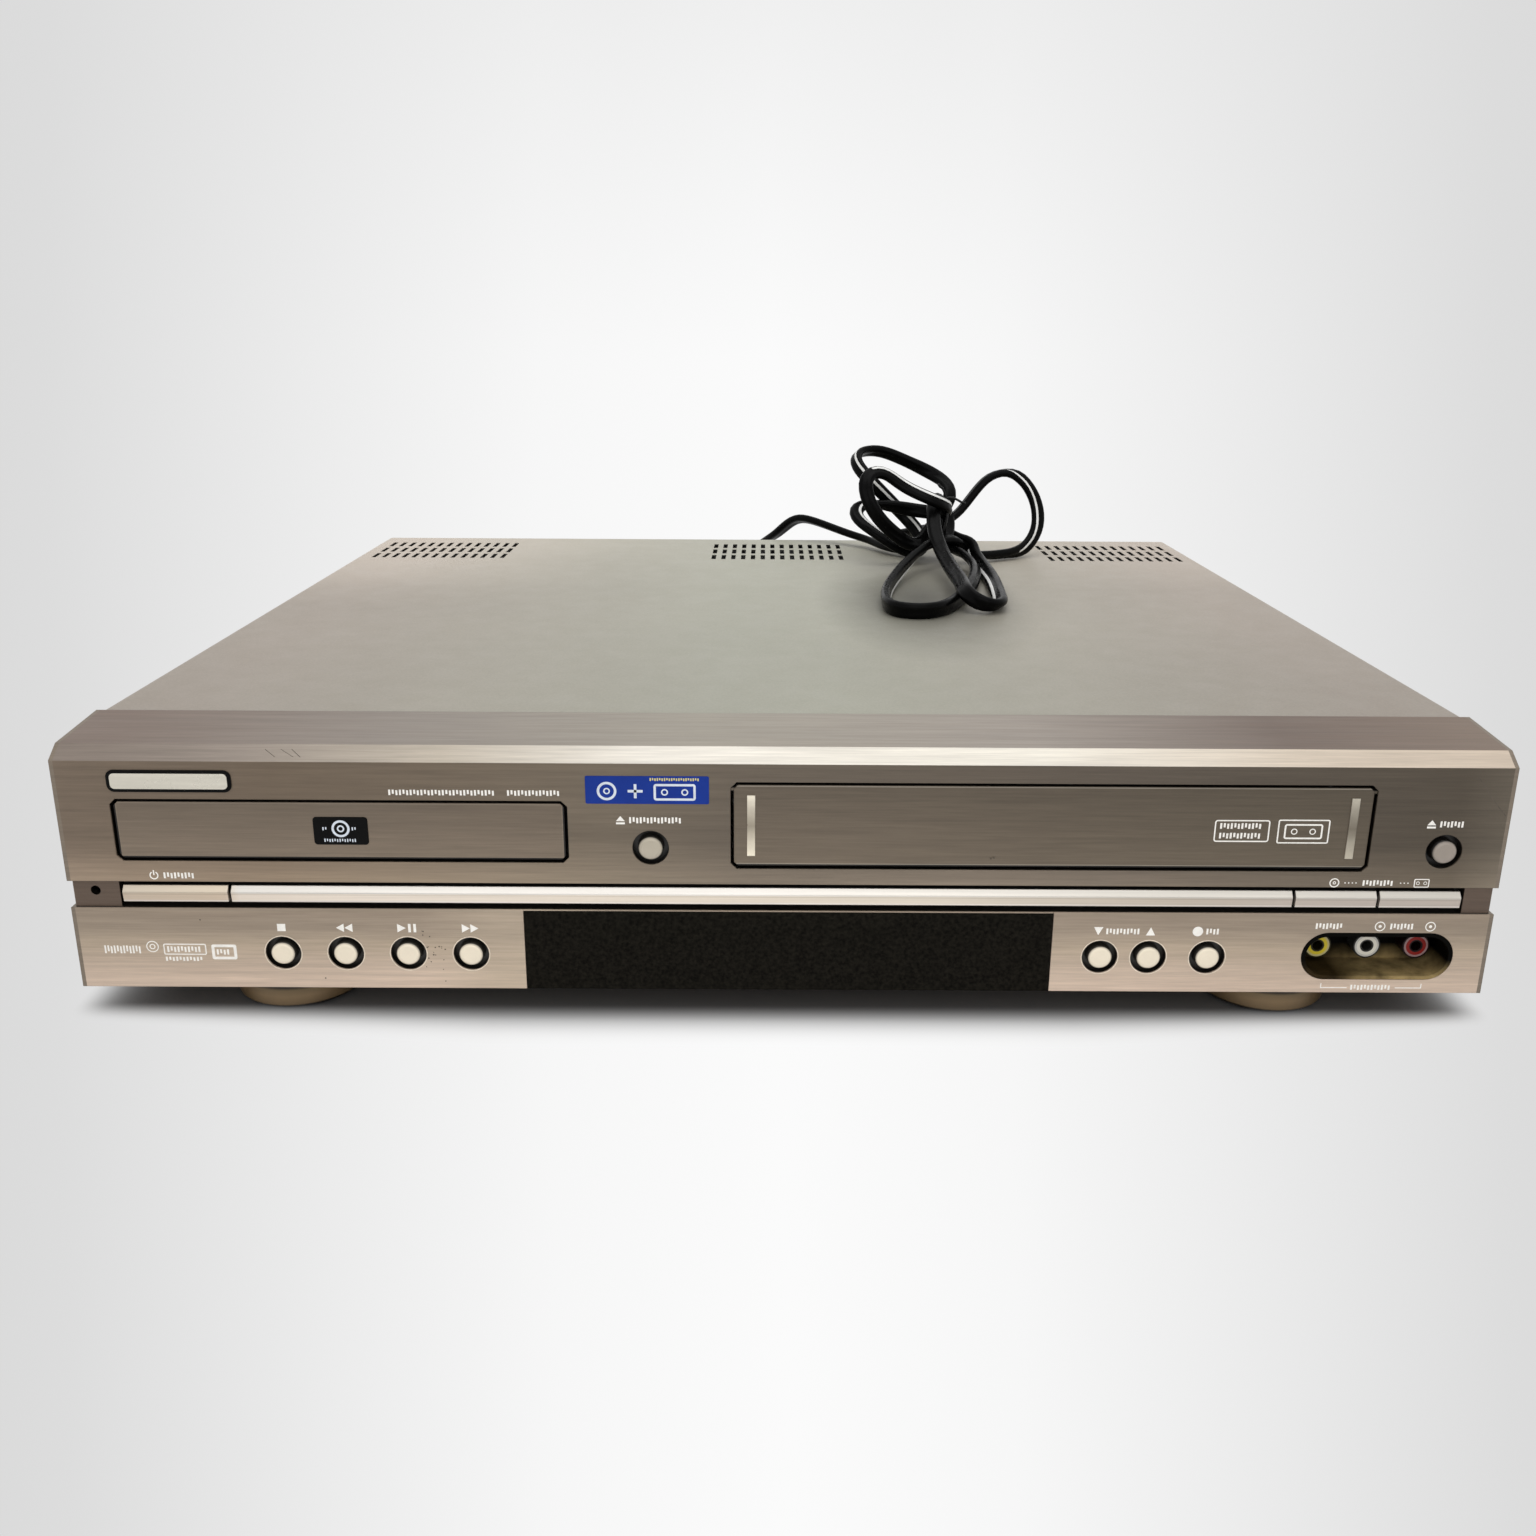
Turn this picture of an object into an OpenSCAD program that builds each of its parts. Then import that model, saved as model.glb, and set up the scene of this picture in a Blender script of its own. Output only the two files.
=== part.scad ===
// Disc and video cassette player: case, front controls, disc loader, cassette deck and boards.
// X runs along the front to the right, Y runs to the rear and Z runs up.
// The origin is the middle of the case's footprint, level with the undersides of the feet.
// Every sub-part is drawn in case coordinates: Y from the front face, Z from the panel's lower edge.

/* [Case] */
// Width of the front panel
body_w = 430; // [426:1:440]
// Depth from the front face to the rear edge of the cover
body_d = 351.5; // [348:0.5:370]
// Height from the front panel's lower edge to the top of the cover
body_h = 79.6; // [79:0.1:86]
// How far the cover's side stands in from the front panel's side
cover_step = 0.8; // [0.4:0.1:2]
// Thickness of the steel sheet of cover, base and rear panel
sheet_t = 1; // [0.8:0.1:1.4]
// Radius of the cover's two long bends
cover_bend_r = 3; // [2:0.5:5]
// Height of the lip at the rear of the cover
cover_lip_h = 12; // [10:0.5:15]
// Height of the base's upturned sides
base_side_h = 14; // [10:1:20]
// Gap between neighbouring sheet metal parts
sheet_gap = 0.3; // [0.2:0.05:0.5]
// Radius of a foot
foot_r = 20.5; // [16:0.5:21]
// Height of a foot with its rubber pad
foot_h = 11.5; // [9:0.5:14]
// Thickness of the rubber pad under a foot
foot_pad_t = 1; // [1:0.1:2]
// Distance of a foot's centre from the middle of the case
foot_x = 156; // [130:1:175]
// Distance of the front feet's centres from the front face
foot_front_y = 26; // [26:0.5:40]
// Distance of the rear feet's centres from the rear edge
foot_rear_inset = 35; // [25:1:60]

/* [Cover vents] */
// Width of one vent slot
vent_w = 2.2; // [2:0.1:3]
// Length of one vent slot
vent_l = 12; // [8:0.5:13]
// Distance from slot to slot along X
vent_pitch_x = 5; // [4.5:0.1:5.6]
// Distance from row to row along Y
vent_pitch_y = 16; // [14:0.5:18]
// Slots in a row of one group
vent_columns = 14; // [6:1:14]
// Rows in one group
vent_rows = 3; // [1:1:4]
// Distance of the last row's centre from the cover's rear edge
vent_rear_inset = 20.5; // [16:0.5:30]
// Distance of the outer groups' centres from the middle
vent_group_x = 172.5; // [160:0.5:174]

/* [Front panel] */
// Thickness of the front panel's moulded walls
panel_t = 2.6; // [2.4:0.1:3]
// Depth of the front panel along the sides and the top
bezel_d = 30.3; // [28:0.1:36]
// Depth of the bright chamfer along the top edge
chamfer_d = 5; // [3:0.5:7]
// Height of that chamfer
chamfer_h = 3.8; // [2:0.2:5]
// Rise of the panel's top from the chamfer to the cover
bezel_rise = 2.4; // [1:0.1:3]
// Height of the groove's lower edge above the panel's lower edge
groove_z = 26.5; // [26:0.1:28]
// Height of the groove that holds the strip
groove_h = 8.7; // [8:0.1:10]
// Depth of that groove
groove_d = 4; // [3.6:0.1:5]
// Depth of the groove beyond the ends of the strip
groove_end_d = 1; // [0.8:0.1:3]
// How far the groove cuts into the panel's sides
groove_side = 1.1; // [0.6:0.1:1.6]
// Height of the bright strip and its keys
strip_h = 5; // [4.6:0.1:6]
// Distance of the strip's left end from the panel's left side
strip_left_inset = 16; // [16:0.5:20]
// Distance of the strip's right end from the panel's right side
strip_right_inset = 10.5; // [9:0.5:14]
// How far the strip lies behind the front face
strip_set_back = 0.3; // [0.1:0.1:0.6]
// Width of the power key
power_key_w = 31.6; // [26:0.2:34]
// Width of each of the two source keys
source_key_w = 24.4; // [20:0.2:26]
// Gap between the keys and the strip
key_gap = 1; // [0.6:0.1:1]
// Width of a key's stem
key_stem_w = 8; // [6:0.5:10]
// Height of a key's stem
key_stem_h = 2.4; // [2:0.1:3]

/* [Buttons] */
// Diameter of the hole round a button
button_hole_d = 10.9; // [10:0.1:11.2]
// Diameter of a button's cap
button_cap_d = 7.6; // [7.6:0.1:8.8]
// Diameter of the flange that keeps a button in the panel
button_flange_d = 12.6; // [12:0.1:13.2]
// Thickness of that flange
button_flange_t = 1.2; // [1:0.1:1.5]
// How far a button stands out of the panel
button_proud = 0.8; // [0.4:0.1:1.2]
// Travel of a button or key
button_travel = 1; // [0.6:0.1:1.2]
// Diameter of a button's stem
button_stem_d = 4; // [3:0.2:5]
// Clearance behind the flange and round a stem
button_clear = 0.3; // [0.2:0.05:0.4]
// Height of the lower row of buttons
lower_row_z = 11.7; // [10:0.1:14]
// Height of the two upper buttons
upper_row_z = 46.9; // [45:0.1:50]
// Place of the first of the four transport buttons
transport_x = -152.3; // [-158:0.1:-148]
// Distance between the transport buttons
transport_pitch = 19.1; // [17:0.1:21]
// Place of the channel down button
channel_x = 96.8; // [95:0.1:100]
// Distance between the two channel buttons
channel_pitch = 14.8; // [14:0.1:16]
// Distance from the channel up button to the record button
record_pitch = 18; // [16:0.1:20]
// Place of the open and close button from the middle between the two doors
open_close_x = 0.3; // [-2:0.1:2]
// Distance of the eject button from the panel's right side
eject_inset = 18.2; // [17:0.1:20]

/* [Display and front jacks] */
// Width of the dark display window
window_w = 160.2; // [150:0.2:164]
// Place of the middle of the window
window_x = 1.7; // [0:0.1:3]
// Width of the ledge that the window rests on
window_ledge = 3; // [2:0.5:4]
// Clearance round the window
window_gap = 0.15; // [0.1:0.05:0.3]
// Width of the display tube
tube_w = 118; // [100:1:125]
// Height of the display tube
tube_h = 16; // [14:0.5:18]
// Thickness of the display tube
tube_t = 6; // [5:0.5:6.5]
// Width of the recess for the front jacks
recess_w = 46.1; // [45:0.1:48]
// Height of that recess
recess_h = 15.5; // [15:0.1:17]
// Distance of the recess's middle from the panel's right side
recess_inset = 33.5; // [33:0.5:36]
// Height of the recess's middle
recess_z = 12.3; // [11.5:0.1:13]
// Depth of the recess
recess_d = 13; // [12:0.5:14]
// Wall of the recess moulding
recess_t = 1.2; // [1:0.1:1.6]
// Distance between the jacks
jack_pitch = 15.3; // [14:0.1:15.6]
// Outer diameter of a phono jack's shell
jack_shell_d = 8.3; // [8:0.1:8.4]
// Diameter of a phono jack's contact hole
jack_bore_d = 3.2; // [3:0.1:3.6]
// Depth of that hole
jack_bore_l = 7; // [6:0.5:9]
// How far the front jacks' tips lie behind the front face
jack_set_back = 7; // [4.5:0.1:8]

/* [Doors] */
// Width of the disc tray's door
tray_door_w = 133; // [132:0.1:134]
// Height of the disc tray's door
tray_door_h = 17.8; // [17:0.1:18]
// Distance of the tray door's left edge from the panel's left side
tray_inset = 17; // [16.5:0.1:19]
// Height of the tray door's lower edge
tray_z = 42.8; // [42.4:0.1:44]
// Width of the cassette door
tape_door_w = 188.6; // [187.6:0.1:189]
// Height of the cassette door
tape_door_h = 25.6; // [25.2:0.1:26.4]
// Distance of the cassette door's right edge from the panel's right side
tape_inset = 41.2; // [41:0.1:43]
// Height of the cassette door's lower edge
tape_z = 41.2; // [41:0.1:41.8]
// Gap between a door and its opening
door_gap = 1; // [0.8:0.1:1.1]
// Thickness of both doors
door_t = 2.2; // [2:0.1:2.4]
// How far the doors lie behind the front face
door_set_back = 0.4; // [0.2:0.1:0.6]
// Radius of the doors' corners
door_corner = 1.2; // [1:0.1:2]
// Diameter of the cassette door's hinge pins
hinge_pin_d = 1.8; // [1.6:0.1:2]
// Length of a hinge pin inside the panel
hinge_pin_l = 3; // [2:0.2:4]
// Distance of the hinge axis below the door's upper edge
hinge_drop = 1.4; // [1.3:0.1:1.6]
// Width of a bright bar on the cassette door
bar_w = 2.4; // [2.4:0.1:3.4]
// Height of that bar
bar_h = 19.2; // [17:0.2:20]
// Distance of the bars from the door's ends
bar_inset = 3.9; // [3:0.1:5]
// How far the bars stand out of the door
bar_proud = 0.3; // [0.2:0.05:0.35]

/* [Disc loader] */
// Width of the disc tray
disc_tray_w = 128; // [127:0.5:129]
// Length of the disc tray
disc_tray_l = 163; // [160:0.5:166]
// Thickness of the tray's slab
tray_slab_t = 5; // [4.6:0.1:5.4]
// Height of the tray's top above the panel's lower edge
tray_top_z = 57; // [56.8:0.1:57.4]
// Depth of the tray's skirts below the slab
tray_skirt_h = 6; // [5:0.2:6.4]
// Diameter of the recess for a 120 mm disc
disc_well_d = 122; // [121:0.5:123]
// Diameter of the recess for an 80 mm disc
small_well_d = 82; // [81:0.5:83]
// Depth of the large recess
disc_well_h = 2.6; // [2:0.1:2.8]
// Extra depth of the small recess
small_well_h = 1.2; // [1:0.1:1.4]
// Width of the slot for turntable and pickup
tray_slot_w = 38; // [36:0.5:40]
// Distance from the tray's front edge to the disc's centre
disc_centre_y = 70.5; // [69:0.5:74]
// Travel of the tray
tray_travel = 135; // [120:1:138]
// Thickness of the loader frame's walls
loader_t = 4; // [3:0.2:5]
// Clearance beside and below the tray
tray_clear = 0.4; // [0.3:0.05:0.5]
// Thickness of the loader frame's floor
loader_floor_t = 2.5; // [2:0.1:3]
// Height of the underside of that floor
loader_floor_z = 34; // [33:0.2:34.6]
// Module of the rack and gear teeth
tooth_m = 1; // [0.9:0.1:1]
// Teeth of the tray gear
tray_gear_teeth = 16; // [14:1:17]
// Distance of the rack's pitch line from the tray's middle
rack_x = 40; // [39.5:0.5:40.5]
// Distance of the tray gear's axis from the front face
tray_gear_y = 24; // [22:0.5:27]
// Diameter of the pulley under the tray gear
belt_wheel_d = 18; // [15:0.5:18]
// Diameter of the motor's pulley
motor_pulley_d = 7; // [6:0.2:8]
// Distance of the motor's axis to the left of the tray gear's
motor_side = 32; // [28:1:34]
// Distance of the motor's axis behind the tray gear's
motor_behind = 11; // [10:0.5:12]
// Thickness of the drive belt
belt_t = 1.4; // [1:0.1:1.6]
// Diameter of the loading motor
motor_d = 20; // [16:0.5:21]
// Length of the loading motor
motor_l = 22; // [16:0.5:26]

/* [Disc drive unit] */
// Half width of the traverse frame
traverse_half_w = 34; // [32:0.5:35]
// Length of the traverse frame behind the spindle
traverse_rear = 92; // [91:0.5:95]
// Length of the traverse frame in front of the spindle
traverse_front = 20; // [16:0.5:22]
// Thickness of the traverse frame's plate
traverse_t = 3; // [2.5:0.1:3.5]
// Height of the underside of that plate
traverse_z = 40; // [39.5:0.1:40.5]
// Diameter of the turntable
turntable_d = 28; // [26:0.5:30]
// Diameter of the hub that centres the disc
hub_d = 14.8; // [14.6:0.1:14.9]
// Diameter of a guide rod
guide_rod_d = 3; // [2.6:0.1:3.4]
// Distance of the guide rods from the middle
guide_rod_x = 22; // [21:0.5:22.5]
// Diameter of the lead screw
lead_screw_d = 3.4; // [3:0.1:3.8]
// Distance of the lead screw from the middle
lead_screw_x = 29; // [28.5:0.1:29.5]
// Length of the optical pickup
pickup_l = 26; // [22:0.5:28]
// Travel of the optical pickup
pickup_travel = 35; // [30:0.5:36]
// Diameter of the clamp that holds the disc
clamp_d = 28; // [26:0.5:30]
// Running clearance of shafts and rods in their holes
shaft_clear = 0.1; // [0.06:0.02:0.14]

/* [Cassette deck] */
// Width of the space for a cassette
cassette_w = 189; // [188.6:0.1:189.4]
// Height of that space
cassette_h = 26.2; // [26:0.1:26.6]
// Thickness of the deck's steel plates
deck_t = 1.6; // [1.4:0.1:1.8]
// Height of the deck plate's underside
deck_z = 16; // [15:0.5:17]
// Distance of the deck's front edge from the front face
deck_y = 34; // [32:0.5:36]
// Length of the deck plate
deck_l = 180; // [176:1:184]
// Height of the side brackets above the deck plate
bracket_h = 53; // [52.5:0.5:54]
// Length of the side brackets
bracket_l = 116; // [112:1:118]
// Distance of the cassette holder's front edge from the front face
holder_y = 31; // [30.5:0.5:33]
// Length of the cassette holder
holder_l = 58; // [54:0.5:60]
// Thickness of the cassette holder's sheet
holder_t = 1; // [0.8:0.1:1.1]
// Width of the ledges under the cassette
holder_ledge = 18; // [14:0.5:20]
// How far the holder draws a cassette in
carriage_travel = 50; // [40:1:52]
// How far the holder lowers a cassette
holder_drop = 14; // [12:0.5:14]
// Thickness of the carriage's slide plates
slide_t = 2; // [1.8:0.1:2.2]
// Gap on both sides of a slide plate
slide_gap = 0.5; // [0.4:0.1:0.6]
// Diameter of the pins that guide holder and carriage
guide_pin_d = 3; // [2.6:0.1:3.4]
// Clearance of those pins in their slots
guide_pin_clear = 0.3; // [0.2:0.05:0.4]
// Diameter of the head drum
drum_d = 62; // [60:0.5:63]
// Tilt of the head drum's axis
drum_tilt = 6; // [4:0.5:7]
// Distance of the drum's axis from the front face
drum_y = 180; // [177:0.5:180]
// Distance of the drum's axis from the cassette's middle
drum_x = -7; // [-12:0.5:0]
// Height of the lower drum
lower_drum_h = 18; // [15:0.5:20]
// Height of the upper drum
upper_drum_h = 15; // [13:0.5:16]
// Gap between the two drums
drum_gap = 0.4; // [0.3:0.1:0.6]
// Distance between the two reel tables
reel_pitch = 92; // [90:0.5:93]
// Diameter of a reel table
reel_d = 34; // [30:0.5:36]
// Distance of the reel tables from the front face
reel_y = 80; // [78:0.5:84]
// Diameter of the capstan
capstan_d = 3; // [2.6:0.1:3.4]
// Diameter of the capstan's flywheel
flywheel_d = 50; // [44:0.5:54]
// Diameter of the pinch roller
pinch_roller_d = 13; // [12:0.5:14]
// Gap between pinch roller and capstan at rest
pinch_gap = 4; // [3:0.2:5]

/* [Boards and rear] */
// Thickness of the circuit boards
board_t = 1.6; // [1.4:0.1:1.8]
// Height of the lower boards above the base
board_standoff = 7; // [6:0.5:9]
// Distance of the front board from the front face
front_board_y = 20; // [19:0.5:21]
// Distance between rear phono jacks
rear_jack_pitch = 16; // [15:0.5:18]
// How far the rear phono jacks stand out of the rear panel
rear_jack_l = 9; // [8:0.5:10]
// Diameter of an aerial connector
aerial_d = 9.52; // [9.3:0.02:9.6]
// How far the aerial connectors stand out of the cover's rear edge
aerial_l = 10; // [8:0.5:11]
// Distance between the two aerial connectors
aerial_pitch = 22; // [20:0.5:26]
// Place of the mains cord's exit
cord_x = -40; // [-50:1:-30]
// Height of the mains cord's exit
cord_z = 20; // [16:0.5:24]

/* [Mains cord] */
// Mean diameter of the flat twin cord
cord_d = 4.7; // [4.2:0.1:4.8]
// Length of the plug's body
plug_body_l = 24; // [20:1:30]
// Length of the plug's blades
blade_l = 17; // [15:0.5:18]
// Height of the plug's blades
blade_h = 6.3; // [6:0.1:7]
// Thickness of the plug's blades
blade_t = 1.5; // [1.4:0.1:1.6]
// Distance between the plug's blades
blade_pitch = 12.7; // [12:0.1:13]

/* [Hidden] */
$fn = 48;
// A cut runs this far past the faces that it opens
over = 1;

// Case
cover_w = body_w - 2 * cover_step;
case_y = (button_proud - body_d - aerial_l) / 2;
chamfer_top_z = body_h - bezel_rise;
chamfer_z = chamfer_top_z - chamfer_h;
foot_centres = [for (side = [-1, 1], y = [foot_front_y, body_d - foot_rear_inset]) [side * foot_x, y]];
foot_body_h = foot_h - foot_pad_t;
rear_y = body_d - 2 * sheet_t - sheet_gap;
base_y = bezel_d + sheet_gap;
base_w = cover_w - 2 * (sheet_t + sheet_gap);
side_screw_y = [bezel_d + 40, body_d - 60];
side_screw_z = 8;
rear_screw_x = [24 - cover_w / 2, 0, cover_w / 2 - 24];
screw_head_d = 7;
screw_head_t = 2;
screw_d = 3;
screw_l = 7;
screw_clear = 0.15;

// Front panel
panel_left = -body_w / 2;
panel_right = body_w / 2;
tray_x = panel_left + tray_inset + tray_door_w / 2;
tape_x = panel_right - tape_inset - tape_door_w / 2;
recess_x = panel_right - recess_inset;
eject_x = panel_right - eject_inset;
strip_z = groove_z + (groove_h - strip_h) / 2;
strip_x0 = panel_left + strip_left_inset;
strip_x1 = panel_right - strip_right_inset;
trim_x0 = strip_x0 + power_key_w + key_gap;
vcr_key_x0 = strip_x1 - source_key_w;
dvd_key_x0 = vcr_key_x0 - key_gap - source_key_w;
trim_x1 = dvd_key_x0 - key_gap;
key_stem_z = strip_z + strip_h / 2;
strip_break = 0.65;
groove_back = groove_d + panel_t;
spring_wire_d = 1.2;
spring_leg_d = 0.9;
spring_leg_l = 5;
door_leg_gap = 0.3;
opening_corner = door_corner + 0.6 * door_gap;
spring_r = 2;
spring_pin_d = 2 * spring_r - spring_wire_d - 0.4;
spring_turns = 5;
spring_room = 2;
spring_ear_t = 1.2;
spring_x = tape_x + tape_door_w / 2 - 12;
spring_l = spring_turns * (spring_wire_d - 0.1) + 1;
spring_y = door_set_back + door_t + door_leg_gap + spring_leg_d / 2 + spring_r;
spring_z = tape_z + tape_door_h + door_gap + spring_r + spring_wire_d / 2;
door_y = door_set_back;
door_back = door_set_back + door_t;
hinge_y = door_y + door_t / 2;
hinge_hole_d = hinge_pin_d + 2 * shaft_clear;
hinge_boss_h = hinge_hole_d + 4;
hinge_end = tape_door_w / 2 + door_gap + hinge_pin_l;
hinge_z = tape_z + tape_door_h - hinge_drop;
window_top = 0.5;
window_h = groove_z - window_top;
lens_hole_d = 3;
lens_hole_x = (panel_left + strip_x0) / 2 - 0.3;
switch_t = 4;
switch_w = 5;
stem_end = front_board_y - switch_t - button_travel - button_clear;
board_post_d = 6;
board_post_x = [
    panel_left + 25, window_x - window_w / 2 - 30, window_x + window_w / 2 + 10,
    recess_x - recess_w / 2 - 18
];
board_post_z = (lower_row_z + button_flange_d / 2 + groove_z + groove_h / 2) / 2 - 2;
front_board_edge = 3.5;
front_board_top = loader_floor_z - button_clear;
upper_tab_half = [10, 8];
upper_tab_rise = 9;
lower_buttons = [
    for (i = [0:3]) transport_x + i * transport_pitch,
    channel_x, channel_x + channel_pitch, channel_x + channel_pitch + record_pitch
];
doors_middle = (tray_x + tray_door_w / 2 + tape_x - tape_door_w / 2) / 2;
upper_buttons = [doors_middle + open_close_x, eject_x];
key_centres = [
    strip_x0 + power_key_w / 2, dvd_key_x0 + source_key_w / 2, vcr_key_x0 + source_key_w / 2
];

// Disc loader
tray_half = disc_tray_w / 2;
slab_z = tray_top_z - tray_slab_t;
skirt_z = slab_z - tray_skirt_h;
skirt_t = 4;
rail_lap = 1;
spindle_y = door_back + disc_centre_y;
loader_half = tray_half + tray_clear;
loader_y0 = groove_back + 1.4;
loader_y1 = door_back + disc_tray_l + 6;
loader_wall_t = 3;
loader_post_d = 9;
loader_post_inset = 6;
loader_post_y = [front_board_y + 20, loader_y1 - loader_post_inset];
loader_floor_top = loader_floor_z + loader_floor_t;
bridge_z = tray_z + tray_door_h - 0.2;
bridge_t = 1.2;
bridge_half_l = 17;
rack_z = slab_z - 4.6;
rack_back = 3;
rack_root = 1.2;
rack_y0 = door_back + 4;
rack_y1 = door_back + disc_tray_l - 2;
gear_r = tooth_m * tray_gear_teeth / 2;
gear_x = rack_x + gear_r;
gear_z0 = rack_z + 0.4;
gear_z1 = slab_z - 0.6;
pulley_z0 = gear_z0 - 6;
pulley_z1 = gear_z0 - 1;
gear_pin_d = 4;
belt_wheel_flange = 2;
motor_flange = 3;
motor_shaft_d = 2;
motor_boss_d = 7;
motor_seat = 6;
tooth_share = 0.4;
belt_clear = 0.3;

// Disc drive unit
turntable_z = slab_z + 3;
rod_z = traverse_z + traverse_t + 4;
block_h = 7;
pickup_y0 = 20;
pickup_wall = 3.4;
pickup_drop = 3;
pickup_nut_y = 6;
pickup_nut_l = 8;
pickup_nut_half_h = 2;
lens_y = 9;
lens_d = 6;
lens_top = 5;
window_y0 = 14;
window_y1 = traverse_rear - 6;
block_t = 4;
tilt_axis_y = traverse_rear - 2;
traverse_pin_d = 3;
traverse_pin_l = 4;

// Cassette deck
deck_top = deck_z + deck_t;
holder_half = cassette_w / 2 + holder_t;
slide_in = holder_half + slide_gap;
slide_out = slide_in + slide_t;
bracket_in = slide_out + slide_gap;
bracket_out = bracket_in + deck_t;
cassette_z = tape_z - 0.2;
holder_top = cassette_z + cassette_h;
carriage_z0 = 30;
carriage_z1 = 64;
carriage_inset = 2;
holder_pin_y = [holder_y + 12, holder_y + holder_l - 12];
holder_pin_z = 54;
carriage_pin_y = [holder_y + 8, holder_y + holder_l - 8];
carriage_pin_z = 60;
deck_leg_x = 90;
deck_leg_inset = 8;
deck_leg_d = 7;
deck_legs = [for (side = [-1, 1], y = [deck_y + deck_leg_inset, deck_y + deck_l - deck_leg_inset])
    [side * deck_leg_x, y]];
reel_z = deck_top + 1;
reel_pin_d = 3;
spindle_top = 38;
capstan_x = 60;
capstan_y = 150;
capstan_pos = [capstan_x, capstan_y];
capstan_z0 = deck_z - 8;
capstan_top = 50;
pinch_x = 84;
pinch_y = 158;
pinch_pivot = [pinch_x, pinch_y];
pinch_roller_z = 26;
pinch_roller_h = 20;
pinch_reach = capstan_d / 2 + pinch_roller_d / 2 + pinch_gap;
pinch_side = 60;
pinch_roller_pos = [
    capstan_pos[0] + pinch_reach * cos(pinch_side), capstan_pos[1] + pinch_reach * sin(pinch_side)
];
pinch_pin_d = 4;
guide_far_r = 59;
guide_near_r = 41;
guide_rings = [[guide_far_r, 210], [guide_near_r, 197], [guide_near_r, -17], [guide_far_r, -24]];
tape_guides = [for (g = guide_rings) [drum_x + g[0] * cos(g[1]), drum_y + g[0] * sin(g[1])]];
guide_post_d = 4;
guide_roller_d = 7;
guide_roller_z = [30, 45];
guide_top = 48;
drum_base_h = 6;
drum_shaft_d = 6;

// Boards and rear
board_z = sheet_t + board_standoff;
board_top = board_z + board_t;
board_rear_y = rear_y - 2;
board_edge = 8;
board_split = -22;
board_gap = 8;
board_grid = 2.54;
main_board_x = [board_split + board_gap / 2, base_w / 2 - board_edge - 1];
power_board_x = [board_edge - base_w / 2, board_split - board_gap / 2];
lower_board_y0 = deck_y + deck_l + 8;
chips = [for (p = board_grid * [[19, 11, 11], [41, 16, 8], [54, 23, 6]])
    [main_board_x[0] + p[0], lower_board_y0 + p[1], p[2]]];
chip_h = 2.5;
small_cans = [for (p = board_grid * [[7, 31], [12, 31], [31, 24], [58, 9]])
    [main_board_x[0] + p[0], lower_board_y0 + p[1]]];
small_can_d = 8;
small_can_h = 12;
transformer_x = power_board_x[1] - 33 * board_grid;
transformer_y = lower_board_y0 + 20 * board_grid;
transformer_w = 42;
transformer_h = 34;
heat_sink_x = power_board_x[1] - 56 * board_grid;
fins = 5;
fin_pitch = 6;
fin_t = 2;
fin_l = 50;
fin_h = 36;
main_can = [power_board_x[1] - 17 * board_grid, lower_board_y0 + 16 * board_grid];
main_can_d = 26;
main_can_h = 32;
power_cans = [for (x = board_grid * [11, 17, 31, 37])
    [power_board_x[1] - x, board_rear_y - 4 * board_grid]];
power_can_d = 12;
power_can_h = 18;
board_posts = [
    for (x = [main_board_x[0] + 8, main_board_x[1] - 8], y = [lower_board_y0 + 8, board_rear_y - 8]) [x, y],
    for (x = [power_board_x[0] + 8, power_board_x[1] - 8], y = [lower_board_y0 + 8, board_rear_y - 8]) [x, y]
];
standoff_d = 6;
rear_jack_x = 74;
rear_jack_columns = 4;
rear_jack_z = [22, 38];
rear_block_d = 12;
rear_vents = 16;
rear_vent_x = power_board_x[0] + 35;
rear_vent_pitch = 7;
rear_vent_w = 3;
rear_vent_z = [board_top + 30, board_top + 52];
tuner_x = 162;
tuner_half = 26;
tuner_z = [board_top, 44];
tuner_l = 62;
aerial_z = 30;
aerial_neck = 1.4;
relief_hole_w = 12;
relief_hole_h = 10;
relief_l = 24;
rear_face = rear_y + sheet_t;

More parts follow.
